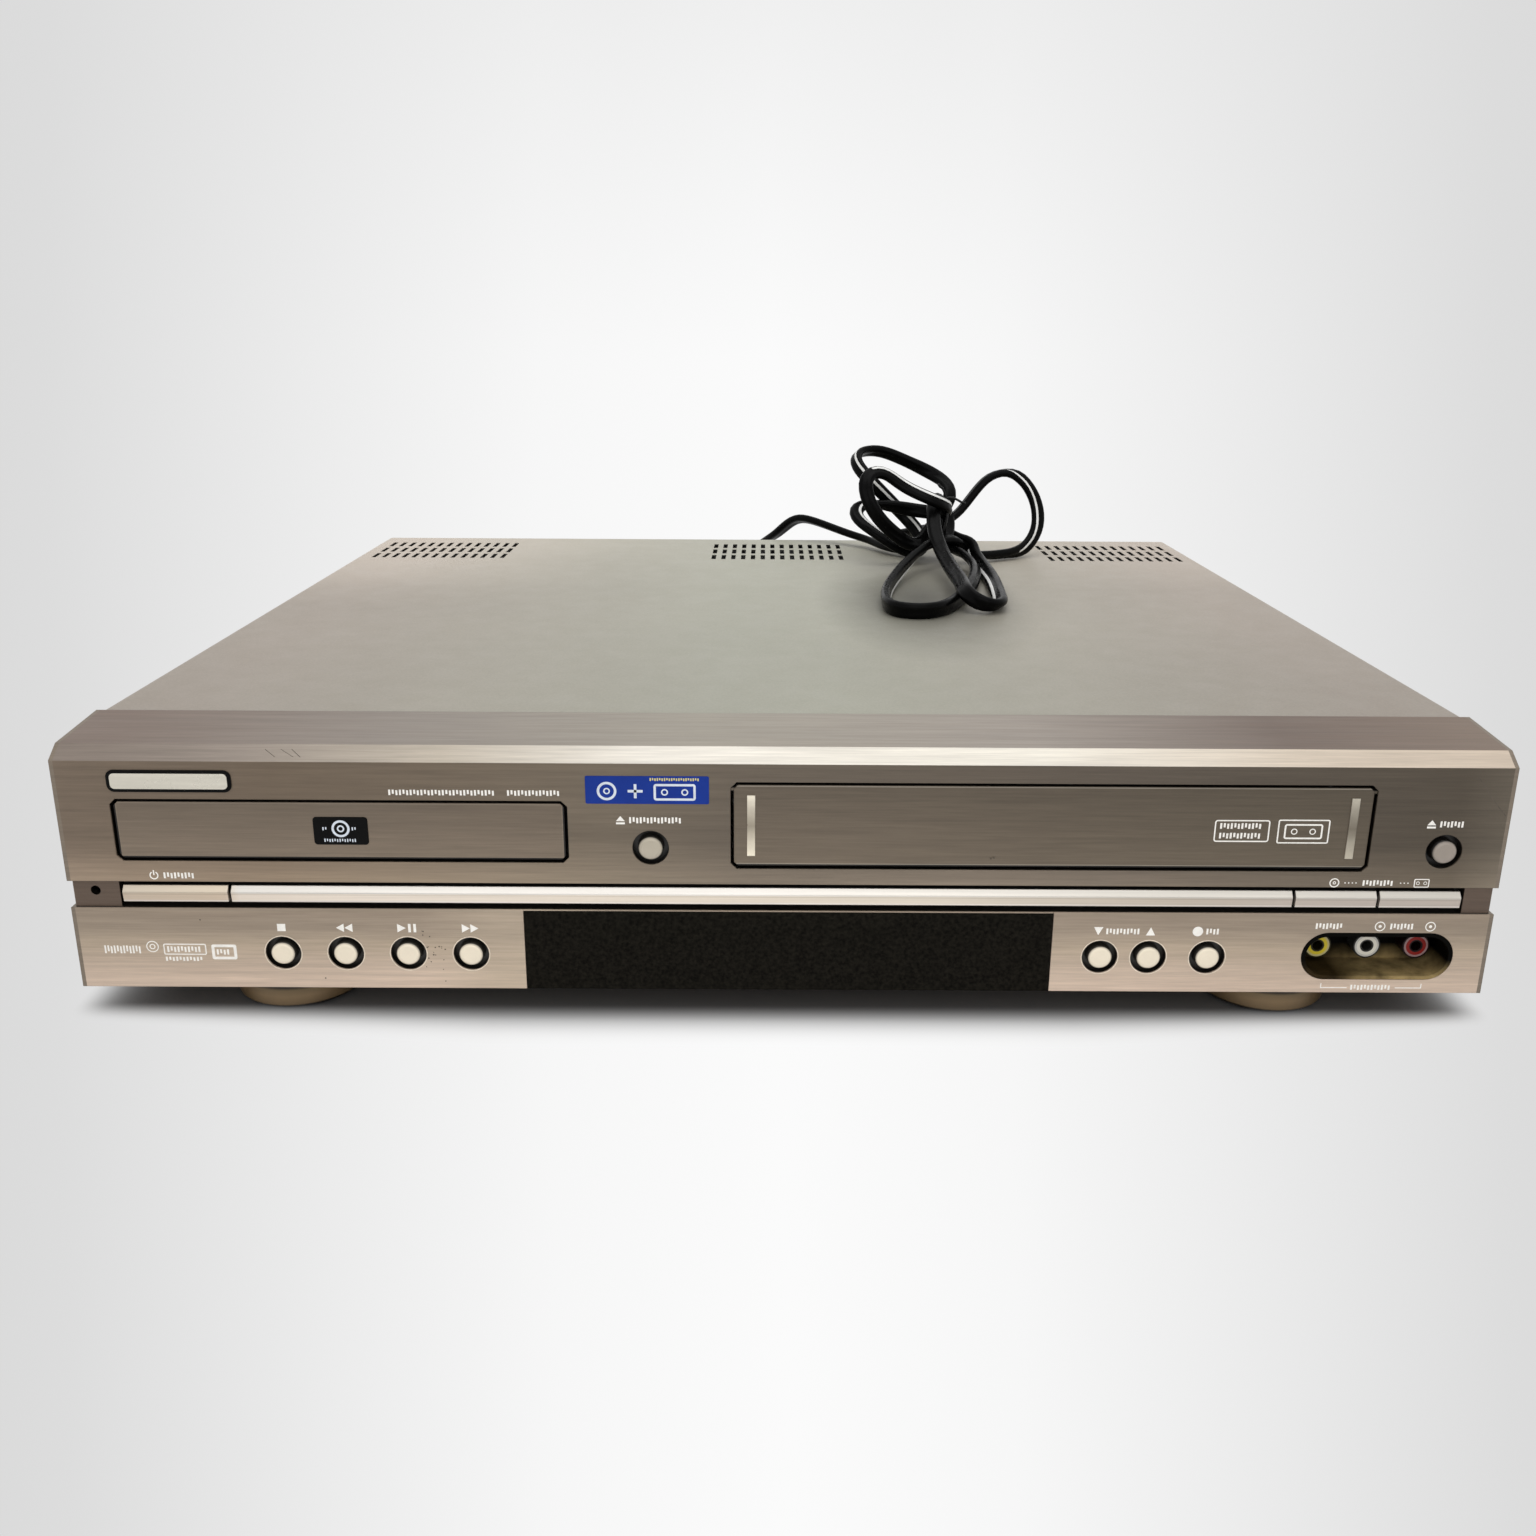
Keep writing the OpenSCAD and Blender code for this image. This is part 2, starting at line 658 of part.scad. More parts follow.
// Mains cord: its route in case coordinates, up behind the case from the strain relief,
// over the rear edge, through the tied loops on the cover and back down to the plug
cord_route = [
    [-40, 386, 22], [-38, 394, 30], [-33, 398, 40], [-23, 396, 55], [-12, 386, 69], [0, 369, 80],
    [9, 360, 89], [17, 352, 91], [38, 336, 86], [49, 326, 84], [57, 310, 83], [65, 301, 83], [71, 300, 83],
    [75, 301, 86], [81, 308, 98], [88, 310, 107], [89, 316, 113], [85, 323, 117], [73, 328, 123],
    [56, 329, 130], [48, 327, 131], [41, 321, 130], [40, 313, 126], [44, 307, 121], [50, 305, 115],
    [63, 307, 102], [69, 305, 96], [74, 296, 89], [73, 292, 85], [67, 285, 84], [60, 282, 87],
    [50, 282, 94], [41, 288, 100], [39, 293, 103], [40, 298, 105], [47, 302, 107], [76, 300, 103],
    [84, 296, 104], [86, 291, 106], [81, 282, 110], [76, 280, 112], [62, 283, 118], [52, 283, 125],
    [45, 279, 125], [42, 275, 122], [43, 271, 114], [49, 270, 104], [60, 272, 94], [67, 277, 90],
    [72, 284, 91], [78, 296, 97], [82, 301, 97], [86, 305, 98], [93, 310, 101], [106, 314, 117],
    [114, 316, 121], [122, 316, 121], [129, 315, 115], [134, 313, 105], [134, 308, 94], [128, 303, 85],
    [121, 298, 83], [105, 289, 83], [94, 284, 85], [92, 283, 87], [91, 282, 89], [88, 278, 93],
    [78, 272, 93], [68, 261, 90], [56, 234, 85], [48, 205, 83], [45, 178, 83], [47, 166, 83], [51, 162, 83],
    [60, 161, 83], [69, 169, 83], [79, 191, 83], [88, 219, 84], [93, 249, 85], [91, 264, 87], [89, 272, 88],
    [85, 280, 88], [86, 296, 96], [87, 298, 98], [87, 300, 100], [86, 301, 102], [85, 302, 105],
    [82, 299, 110], [80, 294, 111], [77, 286, 108], [76, 268, 98], [78, 255, 91], [79, 228, 88],
    [79, 198, 88], [78, 178, 88], [80, 173, 86], [84, 170, 84], [90, 172, 83], [93, 177, 83], [96, 206, 83],
    [98, 233, 83], [98, 263, 84], [96, 275, 87], [97, 277, 88], [97, 280, 89], [96, 283, 90], [95, 285, 91],
    [92, 290, 91], [88, 302, 92], [81, 315, 92], [65, 339, 85], [59, 353, 83], [55, 365, 66], [55, 377, 39],
    [59, 387, 14], [65, 396, 0], [72, 399, -6], [86, 402, -8], [116, 402, -8], [140, 402, -6]
];
plug_w = 20;
plug_h = 11.6;
plug_neck_l = 12;
plug_neck_d = 8;
plug_x = 140;
plug_y = 402;
plug_z = plug_h / 2 - foot_h;

// ---- shared shapes ----

module in_case() translate([0, case_y, foot_h]) children();

module block(x0, x1, y0, y1, z0, z1) translate([x0, y0, z0]) cube([x1 - x0, y1 - y0, z1 - z0]);

module rod_x(y, z, x0, x1, d) translate([x0, y, z]) rotate([0, 90, 0]) cylinder(h = x1 - x0, d = d);

module rod_y(x, z, y0, y1, d) translate([x, y0, z]) rotate([-90, 0, 0]) cylinder(h = y1 - y0, d = d);

module rod_z(x, y, z0, z1, d) translate([x, y, z0]) cylinder(h = z1 - z0, d = d);

// An outline in Y and Z, drawn out along X
module prism_x(points, x0, x1)
    translate([x0, 0, 0]) rotate([90, 0, 90]) linear_extrude(height = x1 - x0) polygon(points);

// An outline in X and Z, drawn out along Y
module prism_y(points, y0, y1)
    translate([0, y1, 0]) rotate([90, 0, 0]) linear_extrude(height = y1 - y0) polygon(points);

// A rectangle with its four corners cut
function cut_corners(x0, x1, z0, z1, c) = [
    [x0 + c, z0], [x1 - c, z0], [x1, z0 + c], [x1, z1 - c],
    [x1 - c, z1], [x0 + c, z1], [x0, z1 - c], [x0, z0 + c]
];

// A slot with round ends along X, drawn out along Y
module slot_y(x, z, w, h, y0, y1) {
    rod_y(x - (w - h) / 2, z, y0, y1, h);
    rod_y(x + (w - h) / 2, z, y0, y1, h);
    block(x - (w - h) / 2, x + (w - h) / 2, y0, y1, z - h / 2, z + h / 2);
}

// Points of a quarter bend from angle a0 to a1
function bend(cx, cz, r, a0, a1, steps) =
    [for (i = [0:steps]) let (a = a0 + (a1 - a0) * i / steps) [cx + r * cos(a), cz + r * sin(a)]];

// The cover's section, inset by t
function cover_section(t) =
    let (half = cover_w / 2 - t, top = body_h - t, r = cover_bend_r - t)
    concat(
        [[half, -over * sign(t)]],
        bend(half - r, top - r, r, 0, 90, 6),
        bend(-half + r, top - r, r, 90, 180, 6),
        [[-half, -over * sign(t)]]
    );

// ---- case ----

module vent_group(x) {
    for (i = [0:vent_columns - 1], j = [0:vent_rows - 1])
        translate([
            x + (i - (vent_columns - 1) / 2) * vent_pitch_x - vent_w / 2,
            body_d - vent_rear_inset - j * vent_pitch_y - vent_l / 2,
            body_h - 2 * sheet_t
        ])
            cube([vent_w, vent_l, 3 * sheet_t]);
}

module top_cover() color([0.56, 0.55, 0.51]) in_case() difference() {
    prism_y(cover_section(0), bezel_d, body_d);
    prism_y(cover_section(sheet_t), bezel_d - over, body_d - sheet_t);
    block(-cover_w, cover_w, body_d - sheet_t - over, body_d + over, -over, body_h - cover_lip_h);
    for (x = [-vent_group_x, 0, vent_group_x]) vent_group(x);
    for (y = side_screw_y) rod_x(y, side_screw_z, -cover_w, cover_w, screw_d + 2 * screw_clear);
    for (x = rear_screw_x)
        rod_y(x, body_h - cover_lip_h / 2, body_d - 3, body_d + over, screw_d + 2 * screw_clear);
}

module chassis_tray() color([0.72, 0.73, 0.74]) in_case() difference() {
    union() {
        block(-base_w / 2, base_w / 2, base_y, rear_y, 0, sheet_t);
        for (side = [-1, 1])
            block(side * base_w / 2 - (side + 1) / 2 * sheet_t,
                side * base_w / 2 - (side - 1) / 2 * sheet_t, base_y, rear_y, 0, base_side_h);
        for (p = board_posts) rod_z(p[0], p[1], sheet_t / 2, board_z, standoff_d);
    }
    for (y = side_screw_y) rod_x(y, side_screw_z, -cover_w, cover_w, screw_d + 2 * screw_clear);
}

module rear_panel() color([0.72, 0.73, 0.74]) in_case() difference() {
    intersection() {
        prism_y(cover_section(sheet_t + sheet_gap), rear_y, rear_face);
        block(-base_w / 2, base_w / 2, rear_y, rear_face, 0, body_h);
    }
    for (x = rear_screw_x)
        rod_y(x, body_h - cover_lip_h / 2, rear_y - over, body_d, screw_d + 2 * screw_clear);
    for (i = [0:rear_jack_columns - 1], z = rear_jack_z)
        rod_y(rear_jack_x + i * rear_jack_pitch, z, rear_y - over, body_d, jack_shell_d + 1);
    for (side = [-1, 1])
        rod_y(tuner_x + side * aerial_pitch / 2, aerial_z, rear_y - over, body_d, aerial_d + 1);
    block(cord_x - relief_hole_w / 2, cord_x + relief_hole_w / 2, rear_y - over, body_d,
        cord_z - relief_hole_h / 2, cord_z + relief_hole_h / 2);
    for (i = [0:rear_vents - 1])
        block(rear_vent_x + i * rear_vent_pitch, rear_vent_x + i * rear_vent_pitch + rear_vent_w,
            rear_y - over, body_d, rear_vent_z[0], rear_vent_z[1]);
}

// The panel's outline seen from the side, set in by t and running on behind it by back
function panel_section(t, back) = [
    [t, t], [t, chamfer_z - t / 3], [chamfer_d + t / 3, chamfer_top_z - t],
    [bezel_d + back, body_h - t], [bezel_d + back, t]
];

// The pin that carries the door's spring, between two ears behind the panel's face
module spring_holder() {
    for (x = [spring_x - spring_room, spring_x + spring_l])
        block(x - spring_ear_t / 2, x + spring_ear_t / 2, panel_t / 2, spring_y + spring_pin_d / 2,
            spring_z - spring_pin_d / 2, spring_z + spring_pin_d / 2 + 2);
    rod_x(spring_y, spring_z, spring_x - spring_room, spring_x + spring_l, spring_pin_d);
}

module front_panel() color([0.60, 0.57, 0.52]) in_case() difference() {
    union() {
        difference() {
            prism_x(panel_section(0, 0), panel_left, panel_right);
            prism_x(panel_section(panel_t, over), panel_left + panel_t, panel_right - panel_t);
        }
        block(panel_left + panel_t / 2, panel_right - panel_t / 2, panel_t / 2, groove_back,
            groove_z - panel_t, groove_z + groove_h + panel_t);
        block(window_x - window_w / 2 - window_ledge, window_x + window_w / 2 + window_ledge,
            panel_t / 2, panel_t * 2, panel_t / 2, groove_z);
        for (x = board_post_x) rod_y(x, board_post_z, panel_t / 2, front_board_y, board_post_d);
        for (side = [-1, 1])
            translate([tape_x + side * (hinge_end - hinge_pin_l / 2 + 0.5), 0, 0])
                block(-hinge_pin_l / 2 - 0.5, hinge_pin_l / 2 + 0.5, panel_t / 2, panel_t * 2,
                    hinge_z - hinge_boss_h / 2, hinge_z + hinge_boss_h / 2);
        spring_holder();
    }
    block(panel_left - over, panel_right + over, -over, groove_end_d, groove_z, groove_z + groove_h);
    block(strip_x0 - key_gap, strip_x1 + key_gap, -over, groove_d, groove_z, groove_z + groove_h);
    for (side = [-1, 1])
        translate([side * (panel_right - groove_side + 5), 0, 0])
            block(-5, 5, -over, bezel_d + over, groove_z, groove_z + groove_h);
    prism_y(cut_corners(tray_x - tray_door_w / 2 - door_gap, tray_x + tray_door_w / 2 + door_gap,
        tray_z - door_gap, tray_z + tray_door_h + door_gap, opening_corner), -over, groove_back + over);
    prism_y(cut_corners(tape_x - tape_door_w / 2 - door_gap, tape_x + tape_door_w / 2 + door_gap,
        tape_z - door_gap, tape_z + tape_door_h + door_gap, opening_corner), -over, groove_back + over);
    rod_x(hinge_y, hinge_z, tape_x - hinge_end - shaft_clear, tape_x + hinge_end + shaft_clear,
        hinge_hole_d);
    block(window_x - window_w / 2 - window_gap, window_x + window_w / 2 + window_gap,
        -over, panel_t, -over, window_h + window_gap);
    block(window_x - window_w / 2 + window_ledge, window_x + window_w / 2 - window_ledge,
        -over, panel_t * 2 + over, panel_t + 1, groove_z - window_ledge);
    for (x = lower_buttons) rod_y(x, lower_row_z, -over, panel_t + over, button_hole_d);
    for (x = upper_buttons) rod_y(x, upper_row_z, -over, panel_t + over, button_hole_d);
    for (x = key_centres)
        block(x - key_stem_w / 2 - button_clear, x + key_stem_w / 2 + button_clear, groove_d - over,
            groove_back + over, key_stem_z - key_stem_h / 2 - button_clear,
            key_stem_z + key_stem_h / 2 + button_clear);
    rod_y(lens_hole_x, key_stem_z + 0.9, -over, groove_back + over, lens_hole_d);
    slot_y(recess_x, recess_z, recess_w + 2 * window_gap, recess_h + 2 * window_gap,
        -over, panel_t + over);
}

module display_window() color([0.07, 0.06, 0.06]) in_case()
    block(window_x - window_w / 2, window_x + window_w / 2, 0, panel_t, 0, window_h);

module foot_body(p) translate([p[0], p[1], -foot_body_h]) rotate_extrude()
    polygon([[0, 0], [foot_r - 1, 0], [foot_r, 1], [foot_r, foot_body_h - 2],
        [foot_r - 1, foot_body_h], [0, foot_body_h]]);

module feet() color([0.42, 0.34, 0.25]) in_case() for (p = foot_centres) foot_body(p);

module foot_pads() color([0.10, 0.10, 0.10]) in_case()
    for (p = foot_centres) rod_z(p[0], p[1], -foot_h, -foot_body_h, 2 * foot_r - 10);

// A screw along +Y from the face at the origin
module screw() {
    rod_y(0, 0, 0, screw_l, screw_d);
    rod_y(0, 0, -screw_head_t, 0, screw_head_d);
}

module case_screws() color([0.25, 0.25, 0.26]) in_case() {
    for (side = [-1, 1], y = side_screw_y)
        translate([side * cover_w / 2, y, side_screw_z]) rotate([0, 0, side * 90]) screw();
    for (x = rear_screw_x)
        translate([x, body_d, body_h - cover_lip_h / 2]) rotate([0, 0, 180]) screw();
}

// ---- strip, keys and buttons ----

// The strip's outline in Y and Z: a steep face below and a bright slope above
function strip_section(back) = [
    [strip_set_back + 0.3, strip_z], [strip_set_back, strip_z + strip_h * strip_break],
    [strip_set_back + 1.2, strip_z + strip_h], [back, strip_z + strip_h], [back, strip_z]
];

module trim_strip() color([0.80, 0.79, 0.76]) in_case()
    prism_x(strip_section(groove_d), trim_x0, trim_x1);

module strip_key(x0, w) in_case() {
    prism_x(strip_section(groove_d - button_travel - button_clear), x0, x0 + w);
    block(x0 + w / 2 - key_stem_w / 2, x0 + w / 2 + key_stem_w / 2, strip_set_back + 1,
        stem_end, key_stem_z - key_stem_h / 2, key_stem_z + key_stem_h / 2);
    translate([0, groove_back + button_clear, 0])
        block(x0 + w / 2 - key_stem_w / 2 - 1, x0 + w / 2 + key_stem_w / 2 + 1, 0,
            button_flange_t, key_stem_z - key_stem_h / 2 - 1, key_stem_z + key_stem_h / 2 + 1);
}

module power_key() color([0.82, 0.81, 0.78]) strip_key(strip_x0, power_key_w);

module dvd_select_key() color([0.82, 0.81, 0.78]) strip_key(dvd_key_x0, source_key_w);

module vcr_select_key() color([0.82, 0.81, 0.78]) strip_key(vcr_key_x0, source_key_w);

// A round button: domed cap, retaining flange and stem
module button(x, z) color([0.84, 0.83, 0.81]) in_case() translate([x, 0, z]) rotate([-90, 0, 0])
    rotate_extrude() polygon([
        [0, -button_proud], [button_cap_d / 2 - 1.2, -button_proud],
        [button_cap_d / 2 - 0.3, -button_proud + 0.4], [button_cap_d / 2, -button_proud + 1],
        [button_cap_d / 2, panel_t + button_clear], [button_flange_d / 2, panel_t + button_clear],
        [button_flange_d / 2, panel_t + button_clear + button_flange_t],
        [button_stem_d / 2, panel_t + button_clear + button_flange_t],
        [button_stem_d / 2, stem_end], [0, stem_end]
    ]);

module open_close_button() button(upper_buttons[0], upper_row_z);

module eject_button() button(upper_buttons[1], upper_row_z);

module stop_button() button(lower_buttons[0], lower_row_z);

module rewind_button() button(lower_buttons[1], lower_row_z);

module play_pause_button() button(lower_buttons[2], lower_row_z);

module forward_button() button(lower_buttons[3], lower_row_z);

module channel_down_button() button(lower_buttons[4], lower_row_z);

module channel_up_button() button(lower_buttons[5], lower_row_z);

module record_button() button(lower_buttons[6], lower_row_z);

// ---- doors ----

module tray_door() color([0.52, 0.49, 0.45]) in_case()
    prism_y(cut_corners(tray_x - tray_door_w / 2, tray_x + tray_door_w / 2, tray_z,
        tray_z + tray_door_h, door_corner), door_y, door_back);

module tape_door() color([0.52, 0.49, 0.45]) in_case() {
    prism_y(cut_corners(tape_x - tape_door_w / 2, tape_x + tape_door_w / 2, tape_z,
        tape_z + tape_door_h, door_corner), door_y, door_back);
    for (side = [-1, 1])
        translate([tape_x + side * (tape_door_w / 2 + (door_gap + hinge_pin_l) / 2 - 0.5), 0, 0])
            rod_x(hinge_y, hinge_z, -(door_gap + hinge_pin_l) / 2, (door_gap + hinge_pin_l) / 2,
                hinge_pin_d);
}

module tape_door_bars() color([0.86, 0.85, 0.82]) in_case()
    for (x = [tape_x - tape_door_w / 2 + bar_inset, tape_x + tape_door_w / 2 - bar_inset - bar_w])
        block(x, x + bar_w, door_y - bar_proud, door_y, tape_z + (tape_door_h - bar_h) / 2,
            tape_z + (tape_door_h + bar_h) / 2);

// A leg spring behind the panel above the door, with one leg down on the door's back
module tape_door_spring() color([0.60, 0.61, 0.62]) in_case() {
    for (i = [0:spring_turns - 1])
        translate([spring_x + i * (spring_wire_d - 0.1), spring_y, spring_z]) rotate([0, 90, 0])
            rotate_extrude() translate([spring_r, 0]) circle(d = spring_wire_d, $fn = 24);
    rod_z(spring_x, door_back + door_leg_gap + spring_leg_d / 2, hinge_z - spring_leg_l, spring_z,
        spring_leg_d);
}

// ---- front jacks, board and display ----

module jack_recess() color([0.12, 0.11, 0.10]) in_case() difference() {
    slot_y(recess_x, recess_z, recess_w, recess_h, 0, recess_d);
    slot_y(recess_x, recess_z, recess_w - 2 * recess_t, recess_h - 2 * recess_t,
        -over, recess_d - recess_t);
    for (i = [-1:1]) rod_y(recess_x + i * jack_pitch, recess_z, 0, recess_d + over, jack_shell_d - 1);
}

module front_jack(i) in_case() translate([recess_x + i * jack_pitch, 0, recess_z])
    rotate([-90, 0, 0]) difference() {
        union() {
            translate([0, 0, jack_set_back])
                cylinder(h = recess_d - recess_t - jack_set_back, d = jack_shell_d);
            translate([0, 0, jack_set_back + 1])
                cylinder(h = front_board_y - jack_set_back - 1, d = jack_shell_d - 1.4);
        }
        translate([0, 0, jack_set_back - over]) cylinder(h = jack_bore_l + over, d = jack_bore_d);
    }

module front_video_jack() color([0.85, 0.72, 0.15]) front_jack(-1);

module front_left_jack() color([0.88, 0.87, 0.84]) front_jack(0);

module front_right_jack() color([0.62, 0.13, 0.10]) front_jack(1);

module front_board() color([0.30, 0.33, 0.16]) in_case() {
    block(panel_left + panel_t + front_board_edge, panel_right - panel_t - front_board_edge,
        front_board_y, front_board_y + board_t, front_board_edge, front_board_top);
    for (i = [0, 1])
        block(upper_buttons[i] - upper_tab_half[i], upper_buttons[i] + upper_tab_half[i],
            front_board_y, front_board_y + board_t, front_board_top - over,
            upper_row_z + upper_tab_rise);
    for (x = lower_buttons) switch_at(x, lower_row_z);
    for (x = upper_buttons) switch_at(x, upper_row_z);
    for (x = key_centres) switch_at(x, key_stem_z);
}

module switch_at(x, z) {
    block(x - switch_w / 2, x + switch_w / 2, front_board_y - switch_t + 1, front_board_y,
        z - switch_w / 2, z + switch_w / 2);
    rod_y(x, z, front_board_y - switch_t, front_board_y - switch_t + 1.5, 3.4);
}

module display_tube() color([0.16, 0.19, 0.19]) in_case()
    block(window_x - tube_w / 2, window_x + tube_w / 2, front_board_y - tube_t, front_board_y,
        (groove_z - tube_h) / 2, (groove_z + tube_h) / 2);

// ---- disc loader ----

// Half the width of a tooth, in parts of the pitch, at height h above the pitch line
function tooth_half(h) = PI * tooth_m * tooth_share / 2 - h * tan(20);

module rack() {
    pitch = PI * tooth_m;
    root = rack_root * tooth_m;
    first = ceil((rack_y0 + tooth_m - tray_gear_y) / pitch);
    last = floor((rack_y1 - tooth_m - tray_gear_y) / pitch);
    block(rack_x - rack_back - root, rack_x - root, rack_y0, rack_y1, rack_z, slab_z + 0.2);
    for (i = [first:last])
        translate([rack_x, tray_gear_y + i * pitch, rack_z])
            linear_extrude(height = slab_z - rack_z + 0.2) polygon([
                [-root - 0.1, -tooth_half(-root)], [tooth_m, -tooth_half(tooth_m)],
                [tooth_m, tooth_half(tooth_m)], [-root - 0.1, tooth_half(-root)]
            ]);
}

module disc_tray() color([0.17, 0.17, 0.18]) in_case() translate([tray_x, 0, 0]) {
    difference() {
        block(-tray_half, tray_half, door_back, door_back + disc_tray_l, slab_z, tray_top_z);
        rod_z(0, spindle_y, tray_top_z - disc_well_h, tray_top_z + over, disc_well_d, $fn = 96);
        rod_z(0, spindle_y, tray_top_z - disc_well_h - small_well_h, tray_top_z, small_well_d, $fn = 96);
        rod_z(0, spindle_y, slab_z - over, tray_top_z, tray_slot_w);
        block(-tray_slot_w / 2, tray_slot_w / 2, spindle_y, door_back + disc_tray_l + over,
            slab_z - over, tray_top_z + over);
    }
    for (side = [-1, 1])
        translate([side * (tray_half - skirt_t / 2), 0, 0])
            block(-skirt_t / 2, skirt_t / 2, door_back, door_back + disc_tray_l, skirt_z, slab_z + 0.2);
    rack();
}

module loader_frame() color([0.13, 0.13, 0.14]) in_case() translate([tray_x, 0, 0]) difference() {
    union() {
        block(-loader_half - loader_t, loader_half + loader_t, loader_y0, loader_y1,
            loader_floor_z, loader_floor_top);
        for (side = [-1, 1]) {
            translate([side * (loader_half + loader_t / 2), 0, 0])
                block(-loader_t / 2, loader_t / 2, loader_y0, loader_y1, loader_floor_z, bridge_z);
            translate([side * (loader_half - skirt_t / 2), 0, 0])
                block(-skirt_t / 2 - rail_lap, skirt_t / 2 + rail_lap, loader_y0, loader_y1,
                    loader_floor_z, skirt_z - tray_clear);
            for (y = loader_post_y)
                rod_z(side * (loader_half - loader_post_inset), y, sheet_t, loader_floor_top,
                    loader_post_d);
        }
        block(-loader_half, loader_half, loader_y1 - loader_wall_t, loader_y1, loader_floor_z,
            bridge_z);
        rod_z(gear_x, tray_gear_y, loader_floor_z, pulley_z0 - belt_clear, gear_pin_d + 4);
        rod_z(gear_x, tray_gear_y, loader_floor_z, gear_z1, gear_pin_d);
        for (side = [-1, 1])
            translate([side * (traverse_half_w + traverse_pin_l + 0.5), spindle_y + tilt_axis_y, 0])
                block(-2, 2, -4, 4, loader_floor_z, traverse_z + traverse_t + 1);
    }
    block(-traverse_half_w - 1.5, traverse_half_w + 1.5, spindle_y - traverse_front - 2,
        spindle_y + traverse_rear + 2, loader_floor_z - over, loader_floor_top + over);
    rod_z(gear_x - motor_side, tray_gear_y + motor_behind, loader_floor_z - over,
        loader_floor_top + over, motor_boss_d + 1);
    rod_x(spindle_y + tilt_axis_y, traverse_z + traverse_t / 2, -traverse_half_w - 12,
        traverse_half_w + 12, traverse_pin_d + 2 * shaft_clear);
}

module clamp_bridge() color([0.70, 0.71, 0.72]) in_case() translate([tray_x, spindle_y, 0])
    difference() {
        block(-loader_half - loader_t, loader_half + loader_t, -bridge_half_l, bridge_half_l,
            bridge_z, bridge_z + bridge_t);
        rod_z(0, 0, bridge_z - over, bridge_z + bridge_t + over, clamp_d - 8);
    }

module clamp_puck() color([0.20, 0.20, 0.21]) in_case() translate([tray_x, spindle_y, 0])
    rotate_extrude() polygon([
        [hub_d / 2 + 1, tray_top_z + 0.6], [clamp_d / 2, tray_top_z + 0.6],
        [clamp_d / 2, bridge_z - 0.3], [clamp_d / 2 - 5, bridge_z - 0.3],
        [clamp_d / 2 - 5, bridge_z + bridge_t + 0.3], [clamp_d / 2 - 2, bridge_z + bridge_t + 0.3],
        [clamp_d / 2 - 2, bridge_z + bridge_t + 1.6], [0, bridge_z + bridge_t + 1.6],
        [0, tray_top_z + 1.6], [hub_d / 2 + 1, tray_top_z + 1.6]
    ]);

module at_spindle() in_case() translate([tray_x, spindle_y, 0]) children();

module traverse_frame() color([0.62, 0.63, 0.64]) at_spindle() {
    difference() {
        union() {
            block(-traverse_half_w, traverse_half_w, -traverse_front, traverse_rear, traverse_z,
                traverse_z + traverse_t);
            for (y = [window_y0, window_y1 - block_t])
                block(-guide_rod_x - 4, lead_screw_x + 4, y, y + block_t, traverse_z,
                    traverse_z + traverse_t + block_h);
            rod_z(0, 0, traverse_z - 6, traverse_z, 26);
            for (side = [-1, 1])
                translate([side * (traverse_half_w + traverse_pin_l / 2), 0, 0])
                    rod_x(tilt_axis_y, traverse_z + traverse_t / 2, -traverse_pin_l / 2 - 1,
                        traverse_pin_l / 2, traverse_pin_d);
        }
        block(-guide_rod_x - 6, lead_screw_x + 2.6, window_y0 + block_t, window_y1 - block_t,
            traverse_z - over, traverse_z + traverse_t + over);
        for (side = [-1, 1])
            rod_y(side * guide_rod_x, rod_z, window_y0 - over, window_y1 + over,
                guide_rod_d + 2 * shaft_clear);
        rod_y(lead_screw_x, rod_z, window_y0 - over, window_y1 + over, lead_screw_d - 1 + 2 * shaft_clear);
        rod_z(0, 0, traverse_z - 5, traverse_z + traverse_t + over, 3 + 2 * shaft_clear);
    }
}

module guide_rods() color([0.80, 0.81, 0.82]) at_spindle()
    for (side = [-1, 1]) rod_y(side * guide_rod_x, rod_z, window_y0, window_y1, guide_rod_d);

module optical_pickup() color([0.24, 0.25, 0.27]) at_spindle() difference() {
    union() {
        block(-guide_rod_x - pickup_wall, guide_rod_x + pickup_wall, pickup_y0,
            pickup_y0 + pickup_l, rod_z - pickup_drop, rod_z + pickup_wall);
        block(guide_rod_x + pickup_drop, lead_screw_x - lead_screw_d / 2 - 0.3,
            pickup_y0 + pickup_nut_y, pickup_y0 + pickup_nut_y + pickup_nut_l,
            rod_z - pickup_nut_half_h, rod_z + pickup_nut_half_h);
        rod_z(0, pickup_y0 + lens_y, rod_z + pickup_drop, rod_z + lens_top, lens_d);
    }
    for (side = [-1, 1])
        rod_y(side * guide_rod_x, rod_z, pickup_y0 - over, pickup_y0 + pickup_l + over,
            guide_rod_d + 2 * shaft_clear);
}

// The screw turns in the end blocks on thin journals; rings stand for its thread
module lead_screw() color([0.78, 0.79, 0.80]) at_spindle()
    translate([lead_screw_x, 0, rod_z]) rotate([-90, 0, 0]) rotate_extrude() polygon(concat(
        [[0, window_y0], [lead_screw_d / 2 - 0.5, window_y0],
            [lead_screw_d / 2 - 0.5, window_y0 + block_t + 0.3]],
        [for (y = [window_y0 + block_t + 0.3:1.5:window_y1 - block_t - 2])
            for (q = [[-0.3, 0], [0, 0.4], [0, 0.9], [-0.3, 1.3]]) [lead_screw_d / 2 + q[0], y + q[1]]],
        [[lead_screw_d / 2 - 0.5, window_y1 - block_t - 0.3], [lead_screw_d / 2 - 0.5, window_y1],
            [0, window_y1]]
    ));

